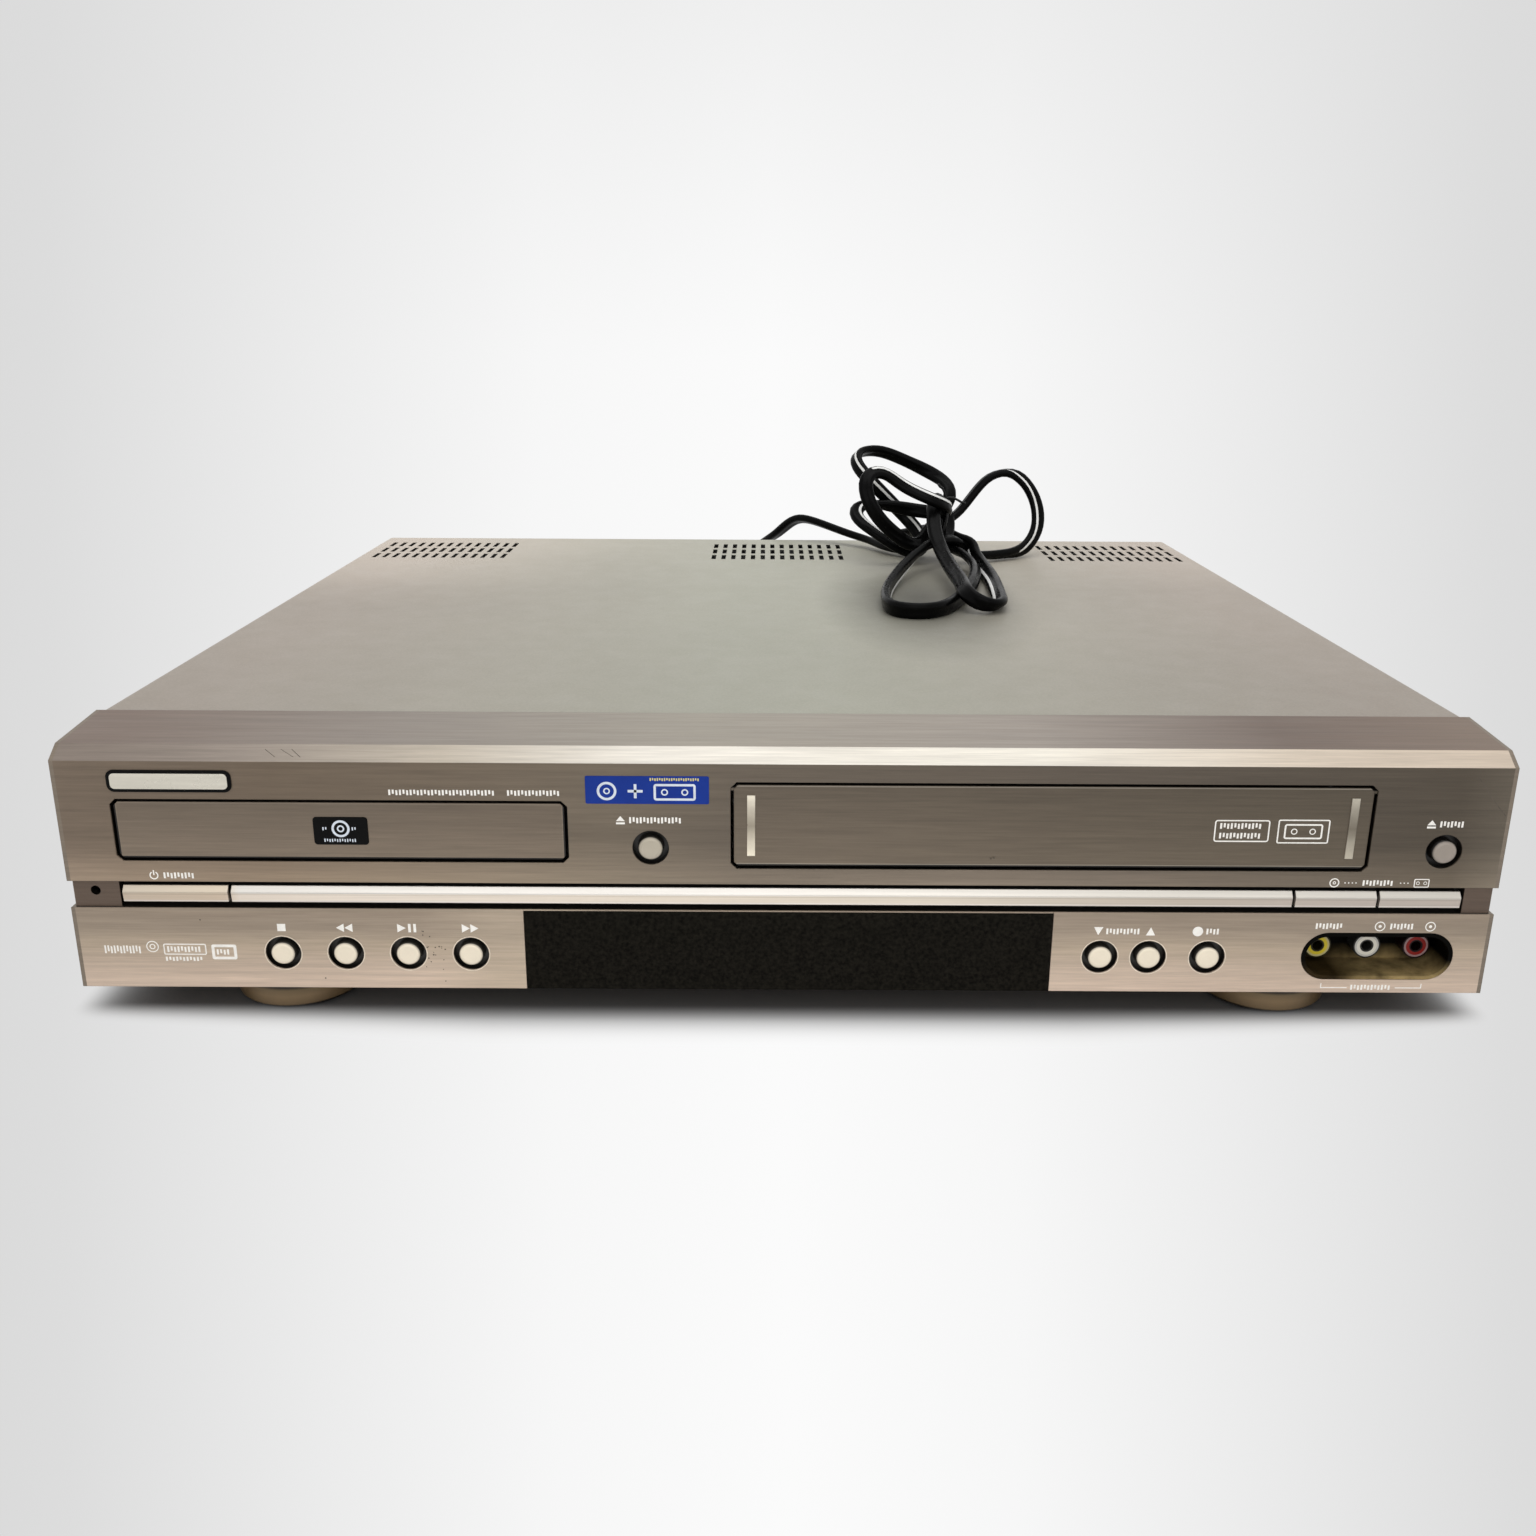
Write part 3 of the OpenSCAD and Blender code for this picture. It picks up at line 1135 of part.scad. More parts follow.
module turntable() color([0.20, 0.20, 0.21]) at_spindle() {
    rod_z(0, 0, traverse_z - 4.5, turntable_z, 3);
    rotate_extrude() polygon([
        [0, turntable_z - 5], [turntable_d / 2 - 4, turntable_z - 5], [turntable_d / 2, turntable_z - 2],
        [turntable_d / 2, turntable_z], [hub_d / 2, turntable_z], [hub_d / 2 - 0.4, turntable_z + 1.2],
        [hub_d / 2 - 2.4, turntable_z + 2.2], [0, turntable_z + 2.2]
    ]);
}

module at_gear() in_case() translate([tray_x + gear_x, tray_gear_y, 0]) children();

function gear_points(teeth) = [
    for (i = [0:teeth - 1])
        let (
            centre = 180 + i * 360 / teeth,
            tip = (teeth / 2 + 0.9) * tooth_m,
            root = (teeth / 2 - 1.2) * tooth_m,
            pitch_r = teeth * tooth_m / 2,
            at_root = tooth_half(-1.2 * tooth_m) / root * 180 / PI,
            at_pitch = tooth_half(0) / pitch_r * 180 / PI,
            at_tip = tooth_half(0.9 * tooth_m) / tip * 180 / PI
        )
        for (q = [[root, -at_root], [pitch_r, -at_pitch], [tip, -at_tip],
            [tip, at_tip], [pitch_r, at_pitch], [root, at_root]])
            [q[0] * cos(centre + 180 / teeth + q[1]), q[0] * sin(centre + 180 / teeth + q[1])]
];

module tray_gear() color([0.85, 0.84, 0.80]) at_gear() difference() {
    union() {
        translate([0, 0, gear_z0]) linear_extrude(height = gear_z1 - gear_z0)
            polygon(gear_points(tray_gear_teeth));
        rod_z(0, 0, pulley_z0, gear_z0 + 0.5, gear_pin_d + 8);
        rod_z(0, 0, pulley_z0, pulley_z0 + 1, belt_wheel_d + belt_wheel_flange);
        rod_z(0, 0, pulley_z0, pulley_z1, belt_wheel_d);
        rod_z(0, 0, pulley_z1 - 1, pulley_z1, belt_wheel_d + belt_wheel_flange);
    }
    rod_z(0, 0, pulley_z0 - over, gear_z1 + over, gear_pin_d + 2 * shaft_clear);
}

module at_motor() at_gear() translate([-motor_side, motor_behind, 0]) children();

module motor_pulley() color([0.75, 0.62, 0.30]) at_motor() {
    rod_z(0, 0, loader_floor_z - motor_seat + 0.3, pulley_z1 + 1, motor_shaft_d);
    rod_z(0, 0, pulley_z0, pulley_z0 + 1, motor_pulley_d + motor_flange);
    rod_z(0, 0, pulley_z0, pulley_z1, motor_pulley_d);
    rod_z(0, 0, pulley_z1 - 1, pulley_z1, motor_pulley_d + motor_flange);
}

module loading_motor() color([0.66, 0.67, 0.68]) at_motor() difference() {
    union() {
        rod_z(0, 0, loader_floor_z - motor_l, loader_floor_z, motor_d);
        rod_z(0, 0, loader_floor_z - over, loader_floor_z + 1, motor_boss_d);
    }
    rod_z(0, 0, loader_floor_z - motor_seat, loader_floor_z + 2, motor_shaft_d + 2 * shaft_clear);
}

// The belt's outline round two wheels whose radii are grown by g
module belt_outline(g) hull() {
    circle(r = belt_wheel_d / 2 + belt_clear + g, $fn = 48);
    translate([-motor_side, motor_behind]) circle(r = motor_pulley_d / 2 + belt_clear + g, $fn = 32);
}

module loading_belt() color([0.09, 0.09, 0.09]) at_gear() translate([0, 0, pulley_z0 + 1 + belt_clear])
    linear_extrude(height = pulley_z1 - pulley_z0 - 2 - 2 * belt_clear) difference() {
        belt_outline(belt_t);
        belt_outline(0);
    }

// ---- cassette deck ----

module at_deck() in_case() translate([tape_x, 0, 0]) children();

// Both sides of the deck: the children are drawn on the right and mirrored to the left
module both_sides() {
    children();
    mirror([1, 0, 0]) children();
}

module deck_bracket() difference() {
    union() {
        block(bracket_in, bracket_out, deck_y, deck_y + bracket_l, deck_z, deck_top + bracket_h);
        block(bracket_in - 0.01, bracket_out + 6, deck_y, deck_y + bracket_l,
            deck_top + bracket_h - deck_t, deck_top + bracket_h);
    }
    for (y = carriage_pin_y)
        block(bracket_in - over, bracket_out + over, y - guide_pin_d / 2 - guide_pin_clear,
            y + carriage_travel + guide_pin_d / 2 + guide_pin_clear,
            carriage_pin_z - guide_pin_d / 2 - guide_pin_clear,
            carriage_pin_z + guide_pin_d / 2 + guide_pin_clear);
}

// Steel deck with its side brackets, legs, bearings and tape guides
module deck_plate() color([0.74, 0.75, 0.76]) at_deck() {
    difference() {
        union() {
            block(-bracket_out, bracket_out, deck_y, deck_y + deck_l, deck_z, deck_top);
            rod_z(capstan_pos[0], capstan_pos[1], deck_z - 1, deck_top + 8, 9);
        }
        rod_z(capstan_pos[0], capstan_pos[1], deck_z - 2, deck_top + 9, capstan_d + 2 * shaft_clear);
    }
    both_sides() deck_bracket();
    for (p = deck_legs) rod_z(p[0], p[1], sheet_t, deck_z + 0.2, deck_leg_d);
    for (side = [-1, 1]) rod_z(side * reel_pitch / 2, reel_y, deck_top - 0.5, spindle_top - 2, reel_pin_d);
    for (p = tape_guides) {
        rod_z(p[0], p[1], deck_top - 0.5, guide_top, guide_post_d);
        rod_z(p[0], p[1], guide_roller_z[0], guide_roller_z[1], guide_roller_d);
    }
    rod_z(pinch_pivot[0], pinch_pivot[1], deck_top - 0.5, pinch_roller_z, pinch_pin_d);
}

module at_drum() at_deck() translate([drum_x, drum_y, deck_top]) rotate([-drum_tilt, 0, 0]) children();

module lower_drum() color([0.76, 0.77, 0.78]) {
    at_drum() difference() {
        rod_z(0, 0, drum_base_h, drum_base_h + lower_drum_h, drum_d, $fn = 96);
        rod_z(0, 0, drum_base_h - over, drum_base_h + lower_drum_h + over,
            drum_shaft_d + 2 * shaft_clear);
    }
    at_deck() difference() {
        translate([drum_x - 20, drum_y - 14, deck_top]) cube([40, 32, 7]);
        translate([drum_x, drum_y, deck_top]) rotate([-drum_tilt, 0, 0])
            rod_z(0, 0, -5, drum_base_h * 2, drum_shaft_d + 2 * shaft_clear);
    }
}

module upper_drum() color([0.80, 0.81, 0.82]) at_drum() {
    translate([0, 0, drum_base_h + lower_drum_h]) {
        rod_z(0, 0, drum_gap, drum_gap + upper_drum_h, drum_d, $fn = 96);
        rod_z(0, 0, -lower_drum_h + 0.5, drum_gap + over, drum_shaft_d);
        rod_z(0, 0, drum_gap, drum_gap + upper_drum_h + 1, 20);
    }
}

module capstan() color([0.55, 0.56, 0.57]) at_deck() translate([capstan_pos[0], capstan_pos[1], 0]) {
    rod_z(0, 0, capstan_z0, capstan_top, capstan_d);
    rod_z(0, 0, capstan_z0, capstan_z0 + 5, flywheel_d, $fn = 72);
}

module pinch_arm() color([0.22, 0.22, 0.23]) at_deck() difference() {
    union() {
        rod_z(pinch_pivot[0], pinch_pivot[1], deck_top + 2, deck_top + 8, 9);
        hull() {
            rod_z(pinch_pivot[0], pinch_pivot[1], deck_top + 3, deck_top + 6, 8, $fn = 32);
            rod_z(pinch_roller_pos[0], pinch_roller_pos[1], deck_top + 3, deck_top + 6, 6, $fn = 32);
        }
        rod_z(pinch_roller_pos[0], pinch_roller_pos[1], deck_top + 4, pinch_roller_z + pinch_roller_h, 3);
        rod_z(pinch_roller_pos[0], pinch_roller_pos[1], pinch_roller_z, pinch_roller_z + pinch_roller_h,
            pinch_roller_d);
    }
    rod_z(pinch_pivot[0], pinch_pivot[1], deck_top, pinch_roller_z, pinch_pin_d + 2 * shaft_clear);
}

module reel(side) at_deck() translate([side * reel_pitch / 2, reel_y, 0]) difference() {
    union() {
        rod_z(0, 0, reel_z, reel_z + 3, reel_d);
        rod_z(0, 0, reel_z, spindle_top, 9);
        for (a = [0:120:240]) rotate([0, 0, a]) block(3, 7, -1, 1, reel_z + 2, spindle_top - 5);
    }
    rod_z(0, 0, reel_z - over, spindle_top - 1.5, reel_pin_d + 2 * shaft_clear);
}

module supply_reel() color([0.86, 0.85, 0.82]) reel(-1);

module take_up_reel() color([0.86, 0.85, 0.82]) reel(1);

// Two slide plates that run along the brackets and carry the holder
module carriage_slides() color([0.60, 0.61, 0.62]) at_deck() both_sides() {
    difference() {
        block(slide_in, slide_out, holder_y + carriage_inset, holder_y + holder_l - carriage_inset,
            carriage_z0, carriage_z1);
        for (y = holder_pin_y)
            block(slide_in - over, slide_out + over, y - guide_pin_d / 2 - guide_pin_clear,
                y + guide_pin_d / 2 + guide_pin_clear,
                holder_pin_z - holder_drop - guide_pin_d / 2 - guide_pin_clear,
                holder_pin_z + guide_pin_d / 2 + guide_pin_clear);
    }
    for (y = carriage_pin_y) rod_x(y, carriage_pin_z, slide_out - 0.2, bracket_out, guide_pin_d);
}

// The sheet cage that a cassette is pushed into
module cassette_holder() color([0.70, 0.71, 0.72]) at_deck() {
    both_sides() {
        block(holder_half - holder_t, holder_half, holder_y, holder_y + holder_l,
            cassette_z - holder_t, holder_top + holder_t);
        block(holder_half - holder_ledge, holder_half, holder_y, holder_y + holder_l,
            cassette_z - holder_t, cassette_z);
        for (y = holder_pin_y) rod_x(y, holder_pin_z, holder_half - 0.2, slide_out, guide_pin_d);
    }
    block(-holder_half, holder_half, holder_y + holder_l - 34, holder_y + holder_l,
        holder_top, holder_top + holder_t);
    for (side = [-1, 1])
        block(side * 60 - 8, side * 60 + 8, holder_y + holder_l - holder_t, holder_y + holder_l,
            holder_top - 6, holder_top + holder_t);
}

// ---- boards and rear connectors ----

module main_board() color([0.18, 0.36, 0.20]) in_case() {
    block(main_board_x[0], main_board_x[1], lower_board_y0, board_rear_y, board_z, board_top);
    for (p = chips)
        block(p[0] - p[2] / 2, p[0] + p[2] / 2, p[1] - p[2] / 2, p[1] + p[2] / 2, board_top,
            board_top + chip_h);
    for (p = small_cans) rod_z(p[0], p[1], board_top, board_top + small_can_h, small_can_d);
}

module power_board() color([0.55, 0.42, 0.22]) in_case() {
    block(power_board_x[0], power_board_x[1], lower_board_y0, board_rear_y, board_z, board_top);
    translate([transformer_x, transformer_y, board_top])
        block(-transformer_w / 2, transformer_w / 2, -transformer_w / 2, transformer_w / 2, 0,
            transformer_h);
    translate([heat_sink_x, transformer_y, board_top]) {
        block(-1, fins * fin_pitch - fin_pitch + fin_t + 1, -fin_l / 2, fin_l / 2, 0, 2 * fin_t);
        for (i = [0:fins - 1])
            block(i * fin_pitch, i * fin_pitch + fin_t, -fin_l / 2, fin_l / 2, fin_t, fin_h);
    }
    rod_z(main_can[0], main_can[1], board_top, board_top + main_can_h, main_can_d);
    for (p = power_cans) rod_z(p[0], p[1], board_top, board_top + power_can_h, power_can_d);
}

module tuner_can() color([0.76, 0.77, 0.78]) in_case() difference() {
    union() {
        block(tuner_x - tuner_half, tuner_x + tuner_half, rear_y - tuner_l, rear_y, tuner_z[0], tuner_z[1]);
        for (side = [-1, 1]) {
            rod_y(tuner_x + side * aerial_pitch / 2, aerial_z, rear_y - 1, body_d, aerial_d - aerial_neck);
            rod_y(tuner_x + side * aerial_pitch / 2, aerial_z, body_d, body_d + aerial_l, aerial_d);
        }
    }
    for (side = [-1, 1])
        rod_y(tuner_x + side * aerial_pitch / 2, aerial_z, body_d + 2, body_d + aerial_l + over, 2);
}

// A moulded block behind the rear panel, with the jacks' shells seated on its face
module rear_jacks() color([0.15, 0.15, 0.16]) in_case() {
    block(rear_jack_x - 8, rear_jack_x + (rear_jack_columns - 1) * rear_jack_pitch + 8,
        rear_y - rear_block_d, rear_y - sheet_gap, board_top, rear_jack_z[1] + 8);
    for (i = [0:rear_jack_columns - 1], z = rear_jack_z)
        translate([rear_jack_x + i * rear_jack_pitch, rear_y, z]) difference() {
            rod_y(0, 0, 0, sheet_t + rear_jack_l, jack_shell_d);
            rod_y(0, 0, sheet_t + rear_jack_l - jack_bore_l, sheet_t + rear_jack_l + over, jack_bore_d);
        }
}

// ---- mains cord ----

function unit(v) = v / norm(v);

// The direction of the route at each of its points
function directions(route) = let (last = len(route) - 1)
    [for (i = [0:last]) unit(route[min(i + 1, last)] - route[max(i - 1, 0)])];

// A side direction at each point, carried along the route without twisting
function sides(dirs, first) = [
    for (i = 0, n = first; i < len(dirs); i = i + 1,
        n = i < len(dirs) ? unit(n - (n * dirs[i]) * dirs[i]) : n) n
];

// A round tube along a route, with flat ends
module tube(route, r, corners) {
    dirs = directions(route);
    across = sides(dirs, unit(cross(dirs[0], [0, 0, 1])));
    last = len(route) - 1;
    points = [
        for (i = [0:last], j = [0:corners - 1])
            route[i] + r * (cos(j * 360 / corners) * across[i]
                + sin(j * 360 / corners) * cross(dirs[i], across[i]))
    ];
    walls = [
        for (i = [0:last - 1], j = [0:corners - 1])
            let (a = i * corners + j, b = i * corners + (j + 1) % corners)
            for (f = [[a, a + corners, b + corners], [a, b + corners, b]]) f
    ];
    polyhedron(points, concat(
        walls,
        [[for (j = [0:corners - 1]) j]],
        [[for (j = [corners - 1:-1:0]) last * corners + j]]
    ));
}

module mains_cord() color([0.05, 0.05, 0.05]) in_case()
    tube(concat([[cord_x, rear_face + relief_l, cord_z]], cord_route), cord_d / 2, 8);

// The plug lies on the surface behind the case, its blades along X
module cord_plug() color([0.06, 0.06, 0.06]) in_case() translate([plug_x, plug_y, plug_z]) {
    rod_x(0, 0, 0, plug_neck_l + 2, plug_neck_d);
    prism_x(cut_corners(-plug_w / 2, plug_w / 2, -plug_h / 2, plug_h / 2, 1), plug_neck_l,
        plug_neck_l + plug_body_l);
    for (side = [-1, 1])
        translate([plug_neck_l + plug_body_l - 1, side * blade_pitch / 2 - blade_t / 2, -blade_h / 2])
            cube([blade_l + 1, blade_t, blade_h]);
}

module strain_relief() color([0.07, 0.07, 0.07]) in_case() {
    block(cord_x - relief_hole_w / 2 + 0.1, cord_x + relief_hole_w / 2 - 0.1, rear_y - 3, rear_face,
        cord_z - relief_hole_h / 2 + 0.1, cord_z + relief_hole_h / 2 - 0.1);
    block(cord_x - relief_hole_w / 2 - 1.5, cord_x + relief_hole_w / 2 + 1.5, rear_face, rear_face + 2.5,
        cord_z - relief_hole_h / 2 - 1.5, cord_z + relief_hole_h / 2 + 1.5);
    rod_y(cord_x, cord_z, rear_face + 2, rear_face + relief_l, 8);
}

top_cover();
chassis_tray();
rear_panel();
front_panel();
display_window();
feet();
foot_pads();
case_screws();
trim_strip();
power_key();
dvd_select_key();
vcr_select_key();
open_close_button();
eject_button();
stop_button();
rewind_button();
play_pause_button();
forward_button();
channel_down_button();
channel_up_button();
record_button();
tray_door();
tape_door();
tape_door_bars();
tape_door_spring();
jack_recess();
front_video_jack();
front_left_jack();
front_right_jack();
front_board();
display_tube();
disc_tray();
loader_frame();
clamp_bridge();
clamp_puck();
traverse_frame();
guide_rods();
optical_pickup();
lead_screw();
turntable();
loading_motor();
motor_pulley();
loading_belt();
tray_gear();
deck_plate();
lower_drum();
upper_drum();
capstan();
pinch_arm();
supply_reel();
take_up_reel();
carriage_slides();
cassette_holder();
main_board();
power_board();
tuner_can();
rear_jacks();
mains_cord();
cord_plug();
strain_relief();
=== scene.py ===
import math
import random

import bmesh
import bpy
from mathutils import Matrix, Vector


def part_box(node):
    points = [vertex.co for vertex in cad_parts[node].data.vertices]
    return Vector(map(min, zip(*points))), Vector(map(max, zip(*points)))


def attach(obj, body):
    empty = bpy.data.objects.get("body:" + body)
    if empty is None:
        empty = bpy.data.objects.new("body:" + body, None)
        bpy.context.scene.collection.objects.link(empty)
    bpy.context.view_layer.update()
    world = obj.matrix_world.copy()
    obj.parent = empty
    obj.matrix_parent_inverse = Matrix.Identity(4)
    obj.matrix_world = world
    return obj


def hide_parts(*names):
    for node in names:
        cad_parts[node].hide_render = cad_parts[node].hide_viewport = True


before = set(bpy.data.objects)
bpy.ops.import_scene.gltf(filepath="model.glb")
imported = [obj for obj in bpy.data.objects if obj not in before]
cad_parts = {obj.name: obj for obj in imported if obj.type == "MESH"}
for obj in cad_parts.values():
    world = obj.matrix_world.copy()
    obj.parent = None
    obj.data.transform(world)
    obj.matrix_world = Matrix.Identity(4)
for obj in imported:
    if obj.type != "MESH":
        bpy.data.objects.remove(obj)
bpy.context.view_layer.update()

# Case coordinates, in millimetres: X along the front, Y from the front face, Z from the panel's
# lower edge
CASE_Y, FOOT = -180.35, 11.5
# The front face in the row frame, in metres
FACE = CASE_Y / 1000


def at(x, y, z):
    """A place in case coordinates, in metres in the row frame."""
    return Vector((x / 1000, (y + CASE_Y) / 1000, (z + FOOT) / 1000))


def rgba(colour):
    """A linear colour with full alpha."""
    return (*colour, 1.0)


# ---- camera, at the photograph's angle ----

def make_camera():
    """Fitted to the photograph: its focal length and shift are in the photograph's pixels."""
    picture, focal, shift = 1536, 1300, -80.8
    sensor, place = 36, (-0.00553, -0.53886, 0.21219)
    pitch, yaw, roll = 0.281832, 0.0016345, -0.0057876
    forward = Vector((math.sin(yaw) * math.cos(pitch), math.cos(yaw) * math.cos(pitch),
                      -math.sin(pitch)))
    right = Vector((math.cos(yaw), -math.sin(yaw), 0))
    down = forward.cross(right)
    across = math.cos(roll) * right + math.sin(roll) * down
    lower = -math.sin(roll) * right + math.cos(roll) * down
    data = bpy.data.cameras.new("camera")
    data.sensor_width, data.lens, data.shift_y = sensor, sensor * focal / picture, shift / picture
    data.clip_start, data.clip_end = 0.02, 60
    camera = bpy.data.objects.new("camera", data)
    turn = Matrix((across, -lower, -forward)).transposed()
    camera.matrix_world = Matrix.Translation(place) @ turn.to_4x4()
    bpy.context.scene.collection.objects.link(camera)
    bpy.context.scene.camera = camera


make_camera()


# ---- materials ----

class Look:
    """A procedural material: its colour, roughness and bump come from noise in object space."""

    def __init__(self, name, rough, metal=0.0, **shader):
        self.material = bpy.data.materials.new(name)
        self.material.use_nodes = True
        self.tree = self.material.node_tree
        self.shader = self.tree.nodes["Principled BSDF"]
        self.shader.inputs["Metallic"].default_value = metal
        self.shader.inputs["Roughness"].default_value = rough
        for key, value in shader.items():
            self.shader.inputs[key.replace("_", " ")].default_value = value
        self.place = self.node("TexCoord").outputs["Object"]
        self.x, self.y, self.z = self.node("SeparateXYZ", {0: self.place}).outputs
        self.rough = rough

    def node(self, kind, inputs=(), **settings):
        made = self.tree.nodes.new("ShaderNode" + kind)
        for key, value in settings.items():
            setattr(made, key, value)
        for key, value in dict(inputs).items():
            if isinstance(value, bpy.types.NodeSocket):
                self.tree.links.new(value, made.inputs[key])
            else:
                made.inputs[key].default_value = value
        return made

    def noise(self, scale, detail=3.0, roughness=0.55):
        """Noise from 0 to 1; scale is in features per metre along X, Y and Z."""
        stretched = self.node("Mapping", {"Vector": self.place, "Scale": scale})
        return self.node("TexNoise", {"Vector": stretched.outputs[0], "Scale": 1.0, "Detail": detail,
                                      "Roughness": roughness}).outputs["Fac"]

    def remap(self, value, low, high, start=0.3, end=0.7):
        """From low, where value is start, to high, where it is end."""
        return self.node("MapRange", {"Value": value, "From Min": start, "From Max": end,
                                      "To Min": low, "To Max": high}).outputs["Result"]

    def math(self, operation, *values):
        return self.node("Math", dict(enumerate(values)), operation=operation).outputs[0]

    def length(self, *parts):
        """The length of a vector from its parts."""
        total = 0.0
        for part in parts:
            total = self.math("MULTIPLY_ADD", part, part, total)
        return self.math("SQRT", total)

    def past(self, value, limit):
        """1 above the limit, otherwise 0."""
        return self.math("GREATER_THAN", value, limit)

    def between(self, value, low, high):
        return self.math("MULTIPLY", self.past(value, low), self.math("LESS_THAN", value, high))

    def mix(self, factor, a, b, blend="MIX"):
        a, b = (c if isinstance(c, bpy.types.NodeSocket) else rgba(c) for c in (a, b))
        made = self.node("Mix", {0: factor, 6: a, 7: b}, data_type="RGBA", blend_type=blend)
        return made.outputs[2]

    def times(self, colour, value):
        """The colour multiplied by a value."""
        grey = self.node("CombineColor", {0: value, 1: value, 2: value}).outputs[0]
        return self.mix(1.0, colour, grey, "MULTIPLY")

    def bands(self, value, stops):
        """A colour from a value: stops are (place from 0 to 1, colour)."""
        ramp = self.node("ValToRGB", {"Fac": value})
        elements = ramp.color_ramp.elements
        while len(elements) < len(stops):
            elements.new(1.0)
        for element, (place, colour) in zip(elements, stops):
            element.position = place
            element.color = rgba(colour)
        return ramp.outputs["Color"]

    def paint(self, colour, tint=0.08, scale=(30, 30, 30)):
        """The base colour, darker and lighter by tint with noise."""
        return self.times(colour, self.remap(self.noise(scale), 1 - tint, 1 + tint))

    def wear(self, spread, scale=(90, 90, 90)):
        """Roughness that wanders by spread."""
        value = self.remap(self.noise(scale), self.rough - spread, self.rough + spread)
        self.tree.links.new(value, self.shader.inputs["Roughness"])

    def bump(self, height, strength, distance=0.0002, edge=0.0):
        """Bump from a height, over edges rounded by the radius edge."""
        inputs = {"Height": height, "Strength": strength, "Distance": distance}
        if edge:
            inputs["Normal"] = self.node("Bevel", {"Radius": edge}, samples=4).outputs[0]
        normal = self.node("Bump", inputs).outputs["Normal"]
        self.tree.links.new(normal, self.shader.inputs["Normal"])

    def colour(self, socket):
        self.tree.links.new(socket, self.shader.inputs["Base Color"])

    def finish(self, spread, bump, edge=0.0, grain=(900, 900, 900)):
        """Wandering roughness and a fine bump: the finished material."""
        self.wear(spread)
        self.bump(self.noise(grain), bump, edge=edge)
        return self.material


def plain(name, colour, rough=0.5, metal=0.0, tint=0.08, scale=(40, 40, 40), grain=(900, 900, 900),
          bump=0.15, edge=0.0002, **shader):
    """A moulded, painted or metal surface."""
    look = Look(name, rough, metal, **shader)
    look.colour(look.paint(colour, tint, scale))
    return look.finish(0.06, bump, edge, grain)


# Painted shade for the inside of an opening and for the gaps round the doors
OPENING_SHADE = (0.012, 0.010, 0.008)


def brushed(look, base, high=1.12):
    """Fine streaks along X in colour and bump."""
    streaks = look.noise((35, 1300, 1300), 4.0, 0.7)
    broad = look.noise((9, 420, 420), 2.0)
    shade = look.math("MULTIPLY", look.remap(streaks, 0.86, high), look.remap(broad, 0.95, 1.05))
    look.colour(look.times(base, shade))
    look.wear(0.05, (20, 300, 300))
    look.bump(streaks, 0.2, 0.0001, edge=0.0004)
    return look.material


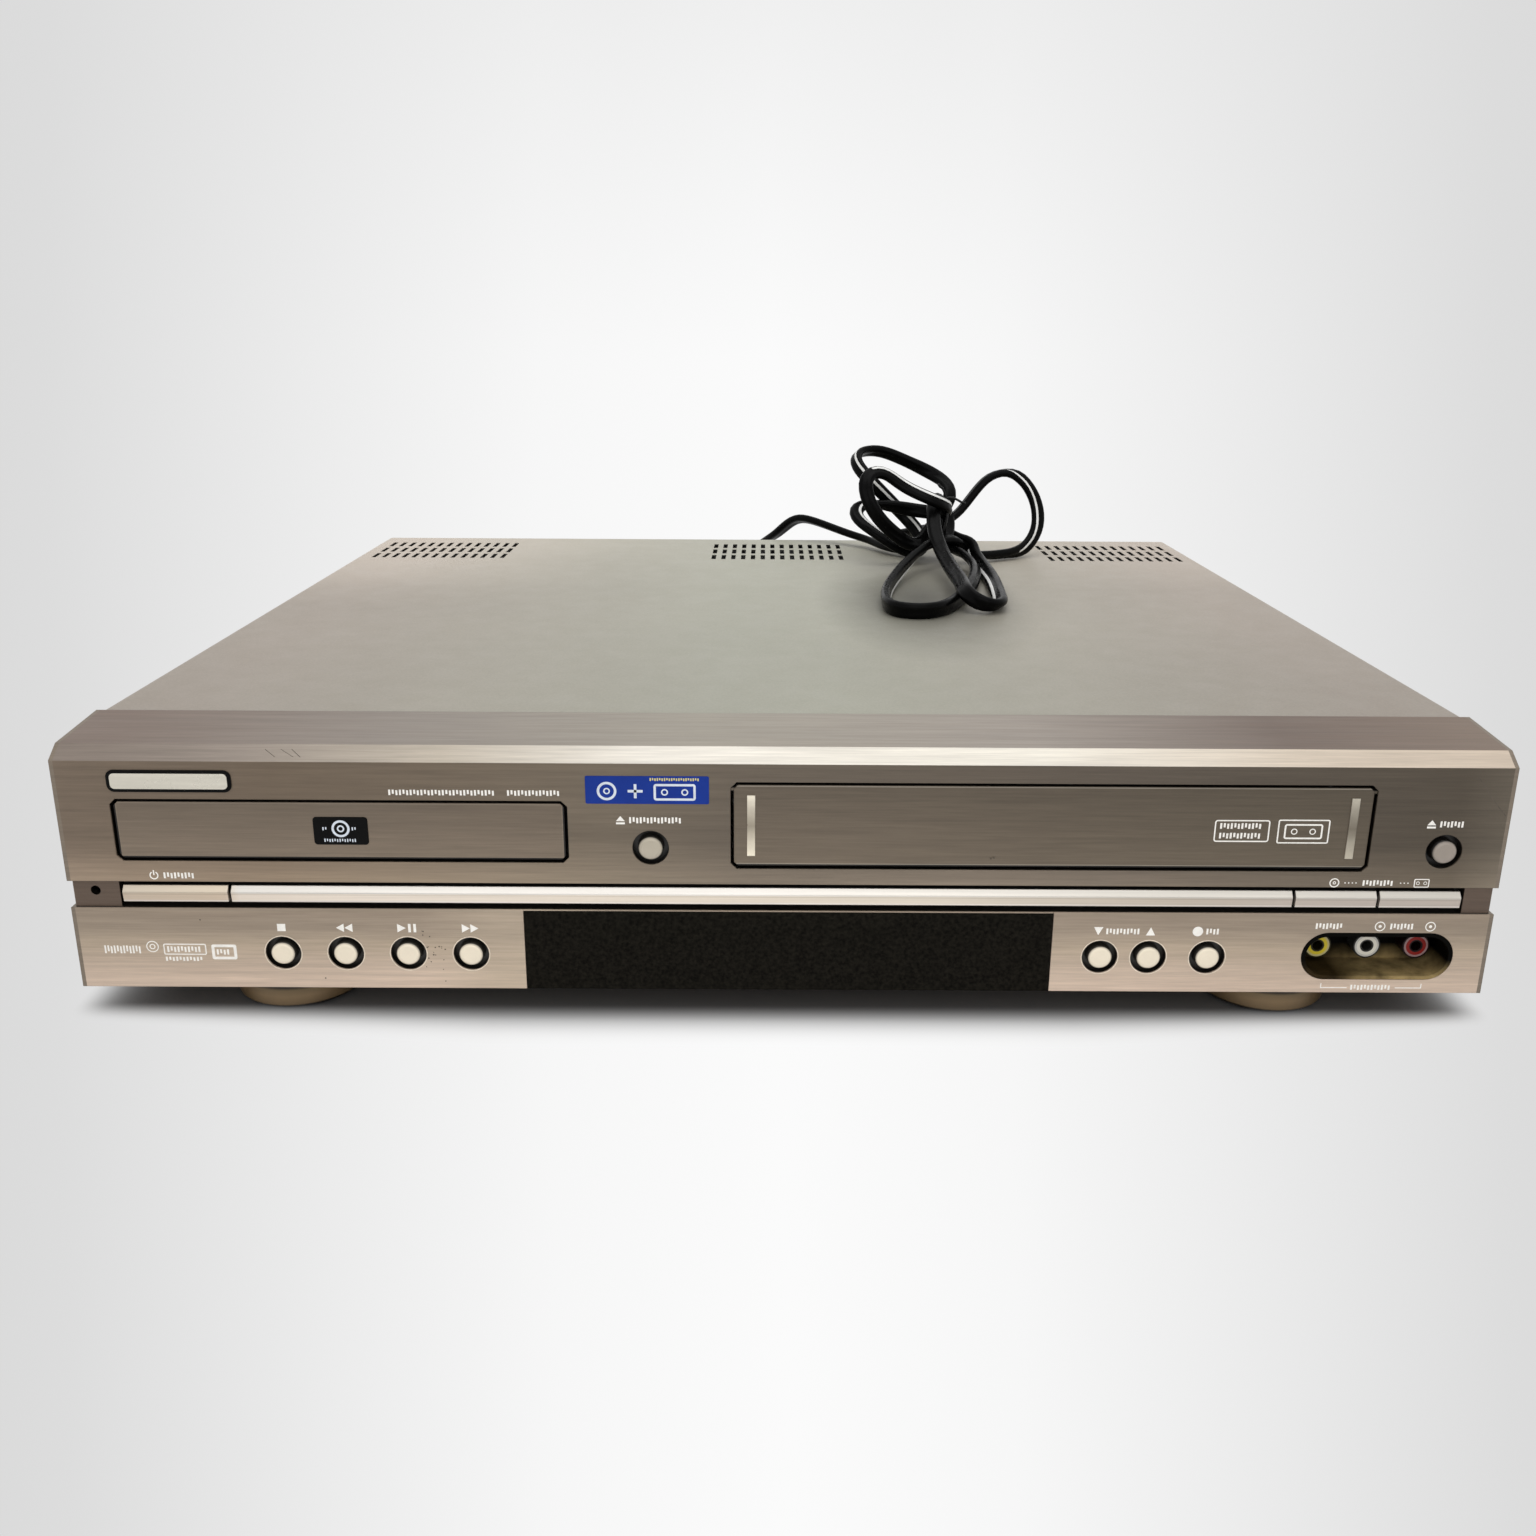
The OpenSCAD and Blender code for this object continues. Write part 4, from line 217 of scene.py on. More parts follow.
def panel_look():
    """Champagne paint with painted light: painted reflection makes it light at the foot and dark above the
    strip, a painted highlight makes the top edge bright, and painted shade darkens the openings.
    """
    look = Look("panel_upper", 0.38, 0.3)
    groove_low, groove_top, chamfer_low, bezel_low = 0.0381, 0.0466, 0.0849, 0.0887
    half_width = 0.2138
    x, y, z = look.x, look.y, look.z
    side = look.math("ABSOLUTE", x)
    height, across = look.math("MULTIPLY", z, 10.0), look.math("MULTIPLY_ADD", x, 2.0, 0.5)
    # Painted reflection of the floor: the lower part is lightest at its foot and darker upwards
    lower = look.bands(height, [
        (0.13, (0.69, 0.54, 0.425)), (0.195, (0.60, 0.475, 0.37)), (0.255, (0.52, 0.415, 0.31)),
        (0.315, (0.375, 0.30, 0.228)), (0.38, (0.36, 0.285, 0.215))])
    # Beside the window the painted reflection on the lower part is more even
    even = look.bands(height, [(0.13, (0.575, 0.463, 0.348)), (0.32, (0.47, 0.38, 0.287))])
    beside = look.remap(look.math("ABSOLUTE", look.math("ADD", x, 0.08)), 1.0, 0.0, 0.008, 0.03)
    # Painted reflection on the upper part: lighter at the left, darker towards the right
    upper = look.bands(across, [
        (0.07, (0.205, 0.155, 0.112)), (0.2, (0.18, 0.135, 0.094)), (0.4, (0.185, 0.148, 0.107)),
        (0.47, (0.145, 0.116, 0.086)), (0.7, (0.125, 0.10, 0.076)), (0.9, (0.095, 0.075, 0.053)),
        (0.93, (0.14, 0.115, 0.085))])
    # Painted reflection: the upper part is lighter along its foot, least so in the middle
    off = look.math("ABSOLUTE", look.math("ADD", x, 0.02))
    foot = look.remap(off, 1.6, 1.92, 0.03, 0.07)
    upper = look.times(upper, look.remap(z, foot, 1.0, 0.0475, 0.060))
    # Painted highlight on the top chamfer: brightest in the middle, darker at the left end
    chamfer_highlight = look.bands(across, [
        (0.1, (0.25, 0.205, 0.172)), (0.18, (0.32, 0.27, 0.23)), (0.3, (0.50, 0.44, 0.36)),
        (0.42, (0.68, 0.64, 0.57)), (0.65, (0.68, 0.64, 0.56)), (0.8, (0.62, 0.53, 0.43)),
        (0.92, (0.63, 0.525, 0.42))])
    # Painted reflection on the bezel above the chamfer
    bezel = look.bands(across, [
        (0.1, (0.22, 0.163, 0.131)), (0.27, (0.29, 0.25, 0.215)), (0.45, (0.36, 0.325, 0.27)),
        (0.65, (0.335, 0.29, 0.25)), (0.8, (0.173, 0.126, 0.1)), (0.92, (0.22, 0.16, 0.12))])
    base = look.mix(beside, lower, even)
    base = look.mix(look.past(z, groove_low), base, upper)
    base = look.mix(look.past(z, chamfer_low), base, chamfer_highlight)
    base = look.mix(look.past(z, bezel_low), base, bezel)
    base = look.mix(look.past(side, half_width), base, (0.24, 0.195, 0.15))
    # Painted shade on the walls inside every opening, and on the groove's floor
    inner = look.math("MULTIPLY", look.math("LESS_THAN", side, half_width),
                      look.between(z, 0.0125, 0.0841))
    behind = look.math("MULTIPLY", inner, look.past(y, FACE + 0.0005))
    base = look.mix(behind, base, OPENING_SHADE)
    groove = look.math("MULTIPLY", look.between(z, groove_low, groove_top),
                       look.math("LESS_THAN", y, FACE + 0.0012))
    base = look.mix(look.math("MULTIPLY", behind, groove), base, (0.135, 0.095, 0.07))
    return brushed(look, base)


def door_look(name, node, left, right, lip):
    """A door's brushed face with painted light: painted reflection that changes from left to right and is
    darker at its top, painted shade on its edges and sides in the opening, and a pale painted highlight
    along its lip.
    """
    look = Look(name, 0.4, 0.3)
    dark_edge, lip_width = 0.00048, 0.0003
    low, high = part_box(node)
    x, y, z = look.x, look.y, look.z
    # Painted reflection: the face changes from left to right and is lighter at its foot, darker at its top
    base = look.mix(look.remap(x, 0, 1, low.x, high.x), left, right)
    base = look.times(base, look.remap(z, 1.25, 0.88, low.z, high.z))
    # Painted shade along the door's sides and foot in its gap and on its sides in the opening, with a pale
    # painted highlight just inside it
    edges = [look.math("SUBTRACT", *pair) for pair in ((x, low.x), (high.x, x), (z, low.z))]
    near = look.math("MINIMUM", look.math("MINIMUM", *edges[:2]), edges[2])
    rim = look.math("MINIMUM", near, look.math("MULTIPLY_ADD", z, -1.0, high.z + lip_width))
    lip_highlight = look.math("MULTIPLY", look.between(rim, dark_edge, dark_edge + lip_width), 0.7)
    base = look.mix(lip_highlight, base, lip)
    dark = look.math("MAXIMUM", look.math("LESS_THAN", near, dark_edge), look.past(y, FACE + 0.0007))
    return brushed(look, look.mix(dark, base, OPENING_SHADE), 1.13)


def cover_look():
    """Satin paint, greenish grey in the middle and warmer at the sides, with painted light: painted
    reflection lighter to the rear, painted shadow round the cord's loops and painted shade in the vent
    slots.
    """
    look = Look("cover_paint", 0.48, 0.05)
    x, y, z = look.x, look.y, look.z
    side = look.remap(look.math("ABSOLUTE", x), 0, 1, 0.02, 0.19)
    base = look.mix(side, (0.40, 0.395, 0.325), (0.385, 0.335, 0.285))
    grain = look.noise((1500, 1500, 1500), 2.0)
    clouds = look.remap(look.noise((9, 6, 9)), 0.96, 1.04)
    # Painted reflection: darker at the front, lighter to the rear, most of all at the sides
    along = look.remap(y, 0.94, 1.06, -0.15, 0.05)
    rear = look.math("MULTIPLY", look.remap(y, 0.0, 0.3, 0.04, 0.15), look.math("ADD", side, 0.35))
    shade = look.math("MULTIPLY", look.math("MULTIPLY", look.remap(grain, 0.94, 1.06), clouds),
                      look.math("ADD", along, rear))
    # Painted light: lighter at the rear left, darker at the front right
    rear_left = look.math("MULTIPLY", look.remap(x, 0.0, 1.0, -0.08, -0.19),
                          look.remap(y, 0.0, 0.25, 0.0, 0.065))
    front_right = look.math("MULTIPLY", look.remap(x, 0.0, 1.0, 0.05, 0.14),
                            look.remap(y, 0.08, 0.0, -0.11, -0.03))
    shade = look.math("ADD", shade, look.math("SUBTRACT", rear_left, front_right))
    # Painted shadow under and in front of the cord's loops
    loops_x, loops_y, half_x, half_y = 0.062, 0.015, 0.035, 0.078
    cord_shadow_distance = look.length(look.math("DIVIDE", look.math("SUBTRACT", x, loops_x), half_x),
                       look.math("DIVIDE", look.math("SUBTRACT", y, loops_y), half_y))
    base = look.times(base, look.math("MULTIPLY", shade, look.remap(cord_shadow_distance, 0.3, 1.0, 0.1, 1.35)))
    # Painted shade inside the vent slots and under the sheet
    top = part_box("top_cover")[1].z
    slot_shade = look.math("MULTIPLY", look.between(z, top - 0.0011, top - 0.0002),
                      look.math("LESS_THAN", look.math("ABSOLUTE", x), 0.21))
    look.colour(look.mix(slot_shade, base, (0.02, 0.02, 0.018)))
    look.wear(0.05)
    look.bump(grain, 0.25, 0.00012, edge=0.0004)
    return look.material


def strip_look():
    """Satin metallic strip, brushed along its length, with painted reflection brightest left of the middle
    and dimmer to the right; the power key is darker.
    """
    look = Look("bright_trim", 0.3, 0.7)
    x, y, z = look.x, look.y, look.z
    low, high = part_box("trim_strip")
    across, rise = look.math("MULTIPLY_ADD", x, 2.0, 0.5), look.remap(z, 0, 1, low.z, high.z)
    # Painted reflection on the front and on the top facet
    face = look.bands(across, [
        (0.1, (0.724, 0.6, 0.474)), (0.165, (0.78, 0.635, 0.49)), (0.17, (0.97, 0.855, 0.735)),
        (0.25, (0.97, 0.86, 0.74)), (0.46, (0.83, 0.735, 0.615)), (0.58, (0.8, 0.715, 0.6)),
        (0.74, (0.65, 0.565, 0.475)), (0.82, (0.65, 0.565, 0.5))])
    top = look.bands(across, [
        (0.1, (0.66, 0.575, 0.465)), (0.165, (0.71, 0.61, 0.48)), (0.17, (0.755, 0.72, 0.665)),
        (0.46, (0.855, 0.813, 0.756)), (0.58, (0.808, 0.764, 0.695)), (0.74, (0.66, 0.624, 0.563))])
    facet, blend = 0.0426, 0.0002
    base = look.mix(look.remap(z, 0, 1, facet, facet + blend), face, top)
    # Painted shade in a dark line under the top facet, and a painted glint in a bright line along the foot
    white, dim = (1, 1, 1), (0.84, 0.84, 0.83)
    line = look.bands(rise, [(0.46, white), (0.49, dim), (0.52, dim), (0.55, white)])
    base = look.mix(1.0, base, line, "MULTIPLY")
    base = look.mix(look.remap(rise, 0.7, 0, 0.09, 0.12), base, (0.93, 0.87, 0.8))
    streaks = look.noise((25, 1500, 1500), 3.0)
    base = look.times(base, look.remap(streaks, 0.95, 1.04))
    # Painted shade on the strip's parts deep in the groove
    look.colour(look.mix(look.past(y, FACE + 0.0018), base, (0.03, 0.027, 0.024)))
    look.bump(streaks, 0.1, 0.0001, edge=0.0003)
    return look.material


def foot_look():
    """Brown plastic feet, with painted shade close under the panel and along the lower rim, and a painted
    highlight part way up.
    """
    look = Look("foot_plastic", 0.38, 0.35)
    shade = look.bands(look.math("MULTIPLY", look.z, 80.0), [
        (0.12, (0.02, 0.014, 0.008)), (0.18, (0.15, 0.1, 0.05)), (0.4, (0.195, 0.13, 0.065)),
        (0.56, (0.155, 0.108, 0.054)), (0.64, (0.02, 0.014, 0.008))])
    look.colour(look.paint(shade, 0.1, (60, 60, 60)))
    return look.finish(0.06, 0.15, 0.0006)


def bar_look():
    """The cassette door's bright bars, with painted reflection: dimmer half-way up, and the left one the
    brighter.
    """
    look = Look("bright_bars", 0.3, 0.35)
    low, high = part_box("tape_door_bars")
    shade = look.bands(look.remap(look.z, 0, 1, low.z, high.z), [
        (0.0, (0.62, 0.56, 0.45)), (0.18, (0.50, 0.45, 0.36)), (0.5, (0.22, 0.19, 0.145)),
        (0.8, (0.40, 0.36, 0.29)), (1.0, (0.60, 0.55, 0.45))])
    # Painted reflection: the left bar is lighter than the right
    left = look.math("MULTIPLY_ADD", look.past(look.x, 0.05), -0.6, 1.6)
    look.colour(look.paint(look.times(shade, left), 0.06, (400, 400, 400)))
    return look.finish(0.05, 0.1, 0.0004)


def cap_look():
    """Button caps: champagne below, greyer in the upper panel, with painted shade on their sides."""
    look = Look("button_caps", 0.36, 0.1)
    to_right, above_strip = look.past(look.x, 0.1), look.past(look.z, 0.045)
    upper = look.mix(to_right, (0.51, 0.455, 0.36), (0.36, 0.31, 0.265))
    base = look.mix(above_strip, (0.93, 0.83, 0.66), upper)
    # Painted shade on the caps' sides, behind their faces
    dim = look.remap(look.y, 1.0, 0.03, FACE - 0.0006, FACE - 0.0002)
    look.colour(look.paint(look.times(base, dim), 0.03, (200, 200, 200)))
    look.bump(look.noise((900, 900, 900)), 0.1, edge=0.0004)
    return look.material


def board_look(name, colour, top, part):
    """A circuit board: lacquer with fine tracks, and dark parts above its face."""
    look = Look(name, 0.42)
    tracks = look.node("TexBrick", {
        "Vector": look.place, "Color1": rgba(colour), "Color2": rgba([c * 1.15 for c in colour]),
        "Mortar": rgba([c * 1.5 for c in colour]), "Scale": 130.0, "Mortar Size": 0.04}).outputs[0]
    above = look.remap(look.z, 0, 1, top + 0.0001, top + 0.0002)
    look.colour(look.paint(look.mix(above, tracks, part), 0.1))
    return look.finish(0.08, 0.1, 0.0002, (700, 700, 700))


def recess_look():
    """The jack recess: painted shade under its brow, and painted light on its foot, which is brownish and
    blotchy.
    """
    look = Look("jack_recess", 0.5, Specular_IOR_Level=0.05)
    # Painted shade under the brow; painted light on the foot, turning from dark to lighter brown from x 170
    # to 182 mm
    lower = look.remap(look.z, 1, 0, 0.0165, 0.0225)
    foot = look.mix(look.remap(look.x, 0, 1, 0.170, 0.182), (0.035, 0.022, 0.008),
                    (0.27, 0.195, 0.085))
    base = look.mix(lower, (0.0012, 0.001, 0.0004), foot)
    look.colour(look.paint(base, 0.5, (160, 160, 160)))
    return look.finish(0.1, 0.3, grain=(500, 500, 500))


def jack_look(name, node, colour):
    """A jack's coloured tip with a paler lip, with painted shade in its hole and deep in the recess, and
    dark along its shell.
    """
    look = Look(name, 0.42, Specular_IOR_Level=0.3)
    hole, lip, shell = 0.0021, 0.0031, 0.0037
    x, y, z = look.x, look.y, look.z
    middle = sum(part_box(node), Vector()) / 2
    out = look.length(look.math("SUBTRACT", x, middle.x), look.math("SUBTRACT", z, middle.z))
    base = look.mix(look.past(out, lip), colour, [0.5 * c + 0.2 for c in colour])
    # Painted shade deep in the recess and in the hole
    deep = look.remap(y, 0, 1, FACE + 0.0073, FACE + 0.0078)
    dark = look.math("MAXIMUM", deep, look.math("SUBTRACT", 1.0, look.between(out, hole, shell)))
    look.colour(look.paint(look.mix(dark, base, [0.03 * c + 0.002 for c in colour]), 0.08))
    return look.finish(0.05, 0.15, 0.0004)


def clear_look():
    """The display tube's tinted glass."""
    look = Look("display_glass", 0.08, Transmission_Weight=0.7, IOR=1.5)
    look.colour(look.paint((0.16, 0.21, 0.20), 0.05))
    look.bump(look.noise((300, 300, 300)), 0.02)
    return look.material


LOOKS = {
    "cover": cover_look(),
    "panel": panel_look(),
    "strip": strip_look(),
    "door_tray": door_look("door_tray", "tray_door", (0.205, 0.160, 0.118), (0.185, 0.145, 0.106),
                           (0.26, 0.21, 0.16)),
    "door_tape": door_look("door_tape", "tape_door", (0.150, 0.118, 0.085), (0.118, 0.094, 0.066),
                           (0.36, 0.32, 0.26)),
    "caps": cap_look(),
    "bars": bar_look(),
    "window": plain("window_smoke", (0.0085, 0.0075, 0.0055), 0.5, 0.0, 0.6, (900, 900, 900),
                    bump=0.1, Specular_IOR_Level=0.03),
    "foot": foot_look(),
    "rubber": plain("foot_rubber", (0.03, 0.03, 0.03), 0.8, bump=0.4),
    "screw": plain("screw_steel", (0.14, 0.14, 0.145), 0.35, 0.8, edge=0.0003),
    "sheet": plain("sheet_steel", (0.58, 0.58, 0.57), 0.38, 0.75, 0.14, (160, 160, 160), bump=0.1),
    "black": plain("black_plastic", (0.022, 0.022, 0.024), 0.5, bump=0.3, edge=0.0003,
                   Specular_IOR_Level=0.3),
    "tray": plain("tray_plastic", (0.045, 0.045, 0.05), 0.48, bump=0.3, edge=0.0004),
    "recess": recess_look(),
    "yellow": jack_look("yellow_plastic", "front_video_jack", (0.72, 0.56, 0.03)),
    "white": jack_look("white_plastic", "front_left_jack", (0.80, 0.76, 0.66)),
    "red": jack_look("red_plastic", "front_right_jack", (0.26, 0.012, 0.008)),
    "green": board_look("board_green", (0.035, 0.13, 0.045), 0.0211, (0.05, 0.05, 0.055)),
    "brown": board_look("board_brown", (0.36, 0.23, 0.10), 0.0211, (0.10, 0.10, 0.11)),
    "front_board": board_look("board_front", (0.36, 0.23, 0.10), 0.2, (0.1, 0.1, 0.1)),
    "glass": clear_look(),
    "alu": plain("machined_alu", (0.72, 0.72, 0.73), 0.22, 1.0, 0.04, grain=(200, 200, 4000), bump=0.2),
    "rod": plain("steel_rod", (0.66, 0.67, 0.68), 0.2, 1.0, 0.05, bump=0.08),
    "acetal": plain("pale_plastic", (0.74, 0.72, 0.65), 0.42, bump=0.15),
    "brass": plain("brass", (0.60, 0.42, 0.14), 0.26, 1.0, 0.08, bump=0.1),
    "belt": plain("belt_rubber", (0.02, 0.02, 0.02), 0.75, bump=0.3),
    "cord": plain("cord_pvc", (0.002, 0.002, 0.002), 0.28, 0.0, 0.25, (400, 400, 400), bump=0.2,
                  Specular_IOR_Level=0.06),
    "stripe": plain("cord_stripe", (0.80, 0.80, 0.78), 0.4, 0.0, 0.1, (300, 300, 300)),
    "plug": plain("plug_pvc", (0.009, 0.009, 0.009), 0.45, 0.0, 0.2, bump=0.3, edge=0.0005,
                  Specular_IOR_Level=0.2),
    "ink": plain("pale_ink", (0.98, 0.95, 0.89), 0.5, 0.0, 0.08, (500, 500, 500), bump=0.05, edge=0.0),
    "dark_ink": plain("dark_ink", (0.004, 0.004, 0.004), 0.4, 0.0, 0.2, bump=0.1, edge=0.0003,
                      Specular_IOR_Level=0.08),
    "blue": plain("sticker_blue", (0.004, 0.032, 0.27), 0.4, 0.0, 0.1, (120, 120, 120), bump=0.05,
                  Specular_IOR_Level=0.2),
    "ice": plain("sticker_ice", (0.72, 0.78, 0.86), 0.35, 0.0, 0.08, (300, 300, 300), edge=0.0),
    "gold": plain("sticker_gold", (0.72, 0.62, 0.22), 0.4, 0.0, 0.08, (300, 300, 300), edge=0.0),
    "plate": plain("name_plate", (0.76, 0.72, 0.62), 0.3, 0.4, 0.06, (30, 900, 900), edge=0.0003),
    # Painted highlight for the pale rings round the button holes
    "rim": plain("rim_highlight", (0.85, 0.74, 0.60), 0.35, 0.3, 0.2, (500, 500, 500), edge=0.0),
    "mark": plain("scuffs", (0.10, 0.08, 0.06), 0.6, 0.0, 0.3, (900, 900, 900), edge=0.0),
}

NODE_LOOKS = {
    "cover": ["top_cover"],
    "panel": ["front_panel"],
    "strip": ["trim_strip", "power_key", "dvd_select_key", "vcr_select_key"],
    "door_tray": ["tray_door"],
    "door_tape": ["tape_door"],
    "caps": [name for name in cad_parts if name.endswith("_button")],
    "bars": ["tape_door_bars"],
    "window": ["display_window"],
    "foot": ["feet"],
    "rubber": ["foot_pads"],
    "screw": ["case_screws"],
    "sheet": ["chassis_tray", "rear_panel", "clamp_bridge", "traverse_frame", "loading_motor",
              "deck_plate", "carriage_slides", "cassette_holder", "tuner_can"],
    "black": ["loader_frame", "clamp_puck", "turntable", "pinch_arm", "rear_jacks"],
    "tray": ["disc_tray", "optical_pickup"],
    "recess": ["jack_recess"],
    "yellow": ["front_video_jack"],
    "white": ["front_left_jack"],
    "red": ["front_right_jack"],
    "green": ["main_board"],
    "brown": ["power_board"],
    "front_board": ["front_board"],
    "glass": ["display_tube"],
    "alu": ["lower_drum", "upper_drum"],
    "rod": ["guide_rods", "lead_screw", "capstan", "tape_door_spring"],
    "acetal": ["tray_gear", "supply_reel", "take_up_reel"],
    "brass": ["motor_pulley"],
    "belt": ["loading_belt"],
    "cord": ["mains_cord", "strain_relief"],
    "plug": ["cord_plug"],
}
for look_name, node_names in NODE_LOOKS.items():
    for node_name in node_names:
        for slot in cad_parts[node_name].material_slots:
            slot.material = LOOKS[look_name]


# ---- mesh helpers ----

def finish_piece(name, bm, look, body, smooth=40, bevel=0.0, looks=()):
    """The bmesh as a piece that rides on a body, smooth where its faces meet at a small angle."""
    mesh = bpy.data.meshes.new(name)
    bmesh.ops.recalc_face_normals(bm, faces=bm.faces)
    bm.to_mesh(mesh)
    bm.free()
    for one in (look, *looks):
        mesh.materials.append(LOOKS[one])
    if smooth:
        mesh.shade_smooth()
        mesh.set_sharp_from_angle(angle=math.radians(smooth))
    piece = bpy.data.objects.new(name, mesh)
    bpy.context.scene.collection.objects.link(piece)
    if bevel:
        modifier = piece.modifiers.new("round", "BEVEL")
        modifier.width, modifier.segments = bevel / 1000, 2
        modifier.limit_method = "ANGLE"
    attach(piece, body)
    return piece


def fill(bm, loops, to_point, depth):
    """A flat plate with holes: closed loops of 2-D points, drawn out by the vector depth."""
    edges = []
    for loop in loops:
        verts = [bm.verts.new(to_point(*p)) for p in loop]
        edges += [bm.edges.new((verts[i], verts[i - 1])) for i in range(len(verts))]
    made = bmesh.ops.triangle_fill(bm, use_beauty=True, use_dissolve=False, edges=edges)
    faces = [f for f in made["geom"] if isinstance(f, bmesh.types.BMFace)]
    grown = bmesh.ops.extrude_face_region(bm, geom=faces)
    moved = [v for v in grown["geom"] if isinstance(v, bmesh.types.BMVert)]
    bmesh.ops.translate(bm, verts=moved, vec=depth)


def skin(bm, rings):
    """A closed tube through rings of vertices: its side faces, one list for each pair of rings."""
    count, made = len(rings[0]), []
    for a, b in zip(rings, rings[1:]):
        made.append([bm.faces.new((a[k], a[(k + 1) % count], b[(k + 1) % count], b[k]))
                     for k in range(count)])
    for end in (rings[0], rings[-1]):
        bm.faces.new(end)
    return made


def circle(x, z, r, steps=24):
    """Points round a circle."""
    return [(x + r * math.cos(math.tau * i / steps), z + r * math.sin(math.tau * i / steps))
            for i in range(steps)]


def rectangle(x0, x1, z0, z1, corner=0.0, steps=4):
    """A rectangle's points, with its corners rounded by the radius corner."""
    if not corner:
        return [(x0, z0), (x1, z0), (x1, z1), (x0, z1)]
    left, right, low, high = x0 + corner, x1 - corner, z0 + corner, z1 - corner
    points = []
    for x, z, start in ((right, low, -90), (right, high, 0), (left, high, 90), (left, low, 180)):
        for i in range(steps + 1):
            a = math.radians(start + 90 * i / steps)
            points.append((x + corner * math.cos(a), z + corner * math.sin(a)))
    return points


def ring(x, z, r, stroke):
    """A circle's outline, stroke wide."""
    return [circle(x, z, r), circle(x, z, r - stroke)]


def frame_of(x0, x1, z0, z1, corner, stroke):
    """A rectangle's outline, stroke wide."""
    return [rectangle(x0, x1, z0, z1, corner),
            rectangle(x0 + stroke, x1 - stroke, z0 + stroke, z1 - stroke, max(corner - stroke, 0.1))]


def ticks(x0, x1, z, h, step=1.05, wide=0.58):
    """A row of plain ticks: in each three one is whole, one is cut below and one above."""
    made = []
    for i in range(int((x1 - x0) / step)):
        x = x0 + i * step
        below, above = (0, 0.25, 0)[i % 3] * h, (0, 0, 0.1)[i % 3] * h
        made.append([rectangle(x, x + wide, z - h / 2 + below, z + h / 2 - above)])
    return made


def cassette(x, z, w, h, stroke):
    """The outline of a cassette with its two reels."""
    return [frame_of(x - w / 2, x + w / 2, z - h / 2, z + h / 2, 0.15 * h, stroke),
            ring(x - 0.24 * w, z, 0.2 * h, 0.6 * stroke), ring(x + 0.24 * w, z, 0.2 * h, 0.6 * stroke)]


def printed(name, look, shapes, body="case", y=0.0, proud=0.05):
    """Thin printed or stuck-on shapes on a face that looks to the front, at depth y."""
    sunk = 0.02
    bm = bmesh.new()
    for loops in shapes:
        fill(bm, loops, lambda x, z: at(x, y - proud, z), Vector((0, (proud + sunk) / 1000, 0)))
    finish_piece(name, bm, look, body, smooth=0)


# ---- mains cord: a flat twin flex with a pale line along one edge ----

# Where the flex leaves its boot, and the rest of its route as part.scad has it, in case coordinates
EXIT = (-40, 374.2, 20)
ROUTE = [
    EXIT, (-40, 386, 22), (-38, 394, 30), (-33, 398, 40), (-23, 396, 55), (-12, 386, 69), (0, 369, 80),
    (9, 360, 89), (17, 352, 91), (38, 336, 86), (49, 326, 84), (57, 310, 83), (65, 301, 83),
    (71, 300, 83), (75, 301, 86), (81, 308, 98), (88, 310, 107), (89, 316, 113), (85, 323, 117),
    (73, 328, 123), (56, 329, 130), (48, 327, 131), (41, 321, 130), (40, 313, 126), (44, 307, 121),
    (50, 305, 115), (63, 307, 102), (69, 305, 96), (74, 296, 89), (73, 292, 85), (67, 285, 84),
    (60, 282, 87), (50, 282, 94), (41, 288, 100), (39, 293, 103), (40, 298, 105), (47, 302, 107),
    (76, 300, 103), (84, 296, 104), (86, 291, 106), (81, 282, 110), (76, 280, 112), (62, 283, 118),
    (52, 283, 125), (45, 279, 125), (42, 275, 122), (43, 271, 114), (49, 270, 104), (60, 272, 94),
    (67, 277, 90), (72, 284, 91), (78, 296, 97), (82, 301, 97), (86, 305, 98), (93, 310, 101),
    (106, 314, 117), (114, 316, 121), (122, 316, 121), (129, 315, 115), (134, 313, 105), (134, 308, 94),
    (128, 303, 85), (121, 298, 83), (105, 289, 83), (94, 284, 85), (92, 283, 87), (91, 282, 89),
    (88, 278, 93), (78, 272, 93), (68, 261, 90), (56, 234, 85), (48, 205, 83), (45, 178, 83),
    (47, 166, 83), (51, 162, 83), (60, 161, 83), (69, 169, 83), (79, 191, 83), (88, 219, 84),
    (93, 249, 85), (91, 264, 87), (89, 272, 88), (85, 280, 88), (86, 296, 96), (87, 298, 98),
    (87, 300, 100), (86, 301, 102), (85, 302, 105), (82, 299, 110), (80, 294, 111), (77, 286, 108),
    (76, 268, 98), (78, 255, 91), (79, 228, 88), (79, 198, 88), (78, 178, 88), (80, 173, 86),
    (84, 170, 84), (90, 172, 83), (93, 177, 83), (96, 206, 83), (98, 233, 83), (98, 263, 84),
    (96, 275, 87), (97, 277, 88), (97, 280, 89), (96, 283, 90), (95, 285, 91), (92, 290, 91),
    (88, 302, 92), (81, 315, 92), (65, 339, 85), (59, 353, 83), (55, 365, 66), (55, 377, 39),
    (59, 387, 14), (65, 396, 0), (72, 399, -6), (86, 402, -8), (116, 402, -8), (140, 402, -6),
]


def lengths(points):
    """How far along the line each point is."""
    runs = [0.0]
    for a, b in zip(points, points[1:]):
        runs.append(runs[-1] + (b - a).length)
    return runs


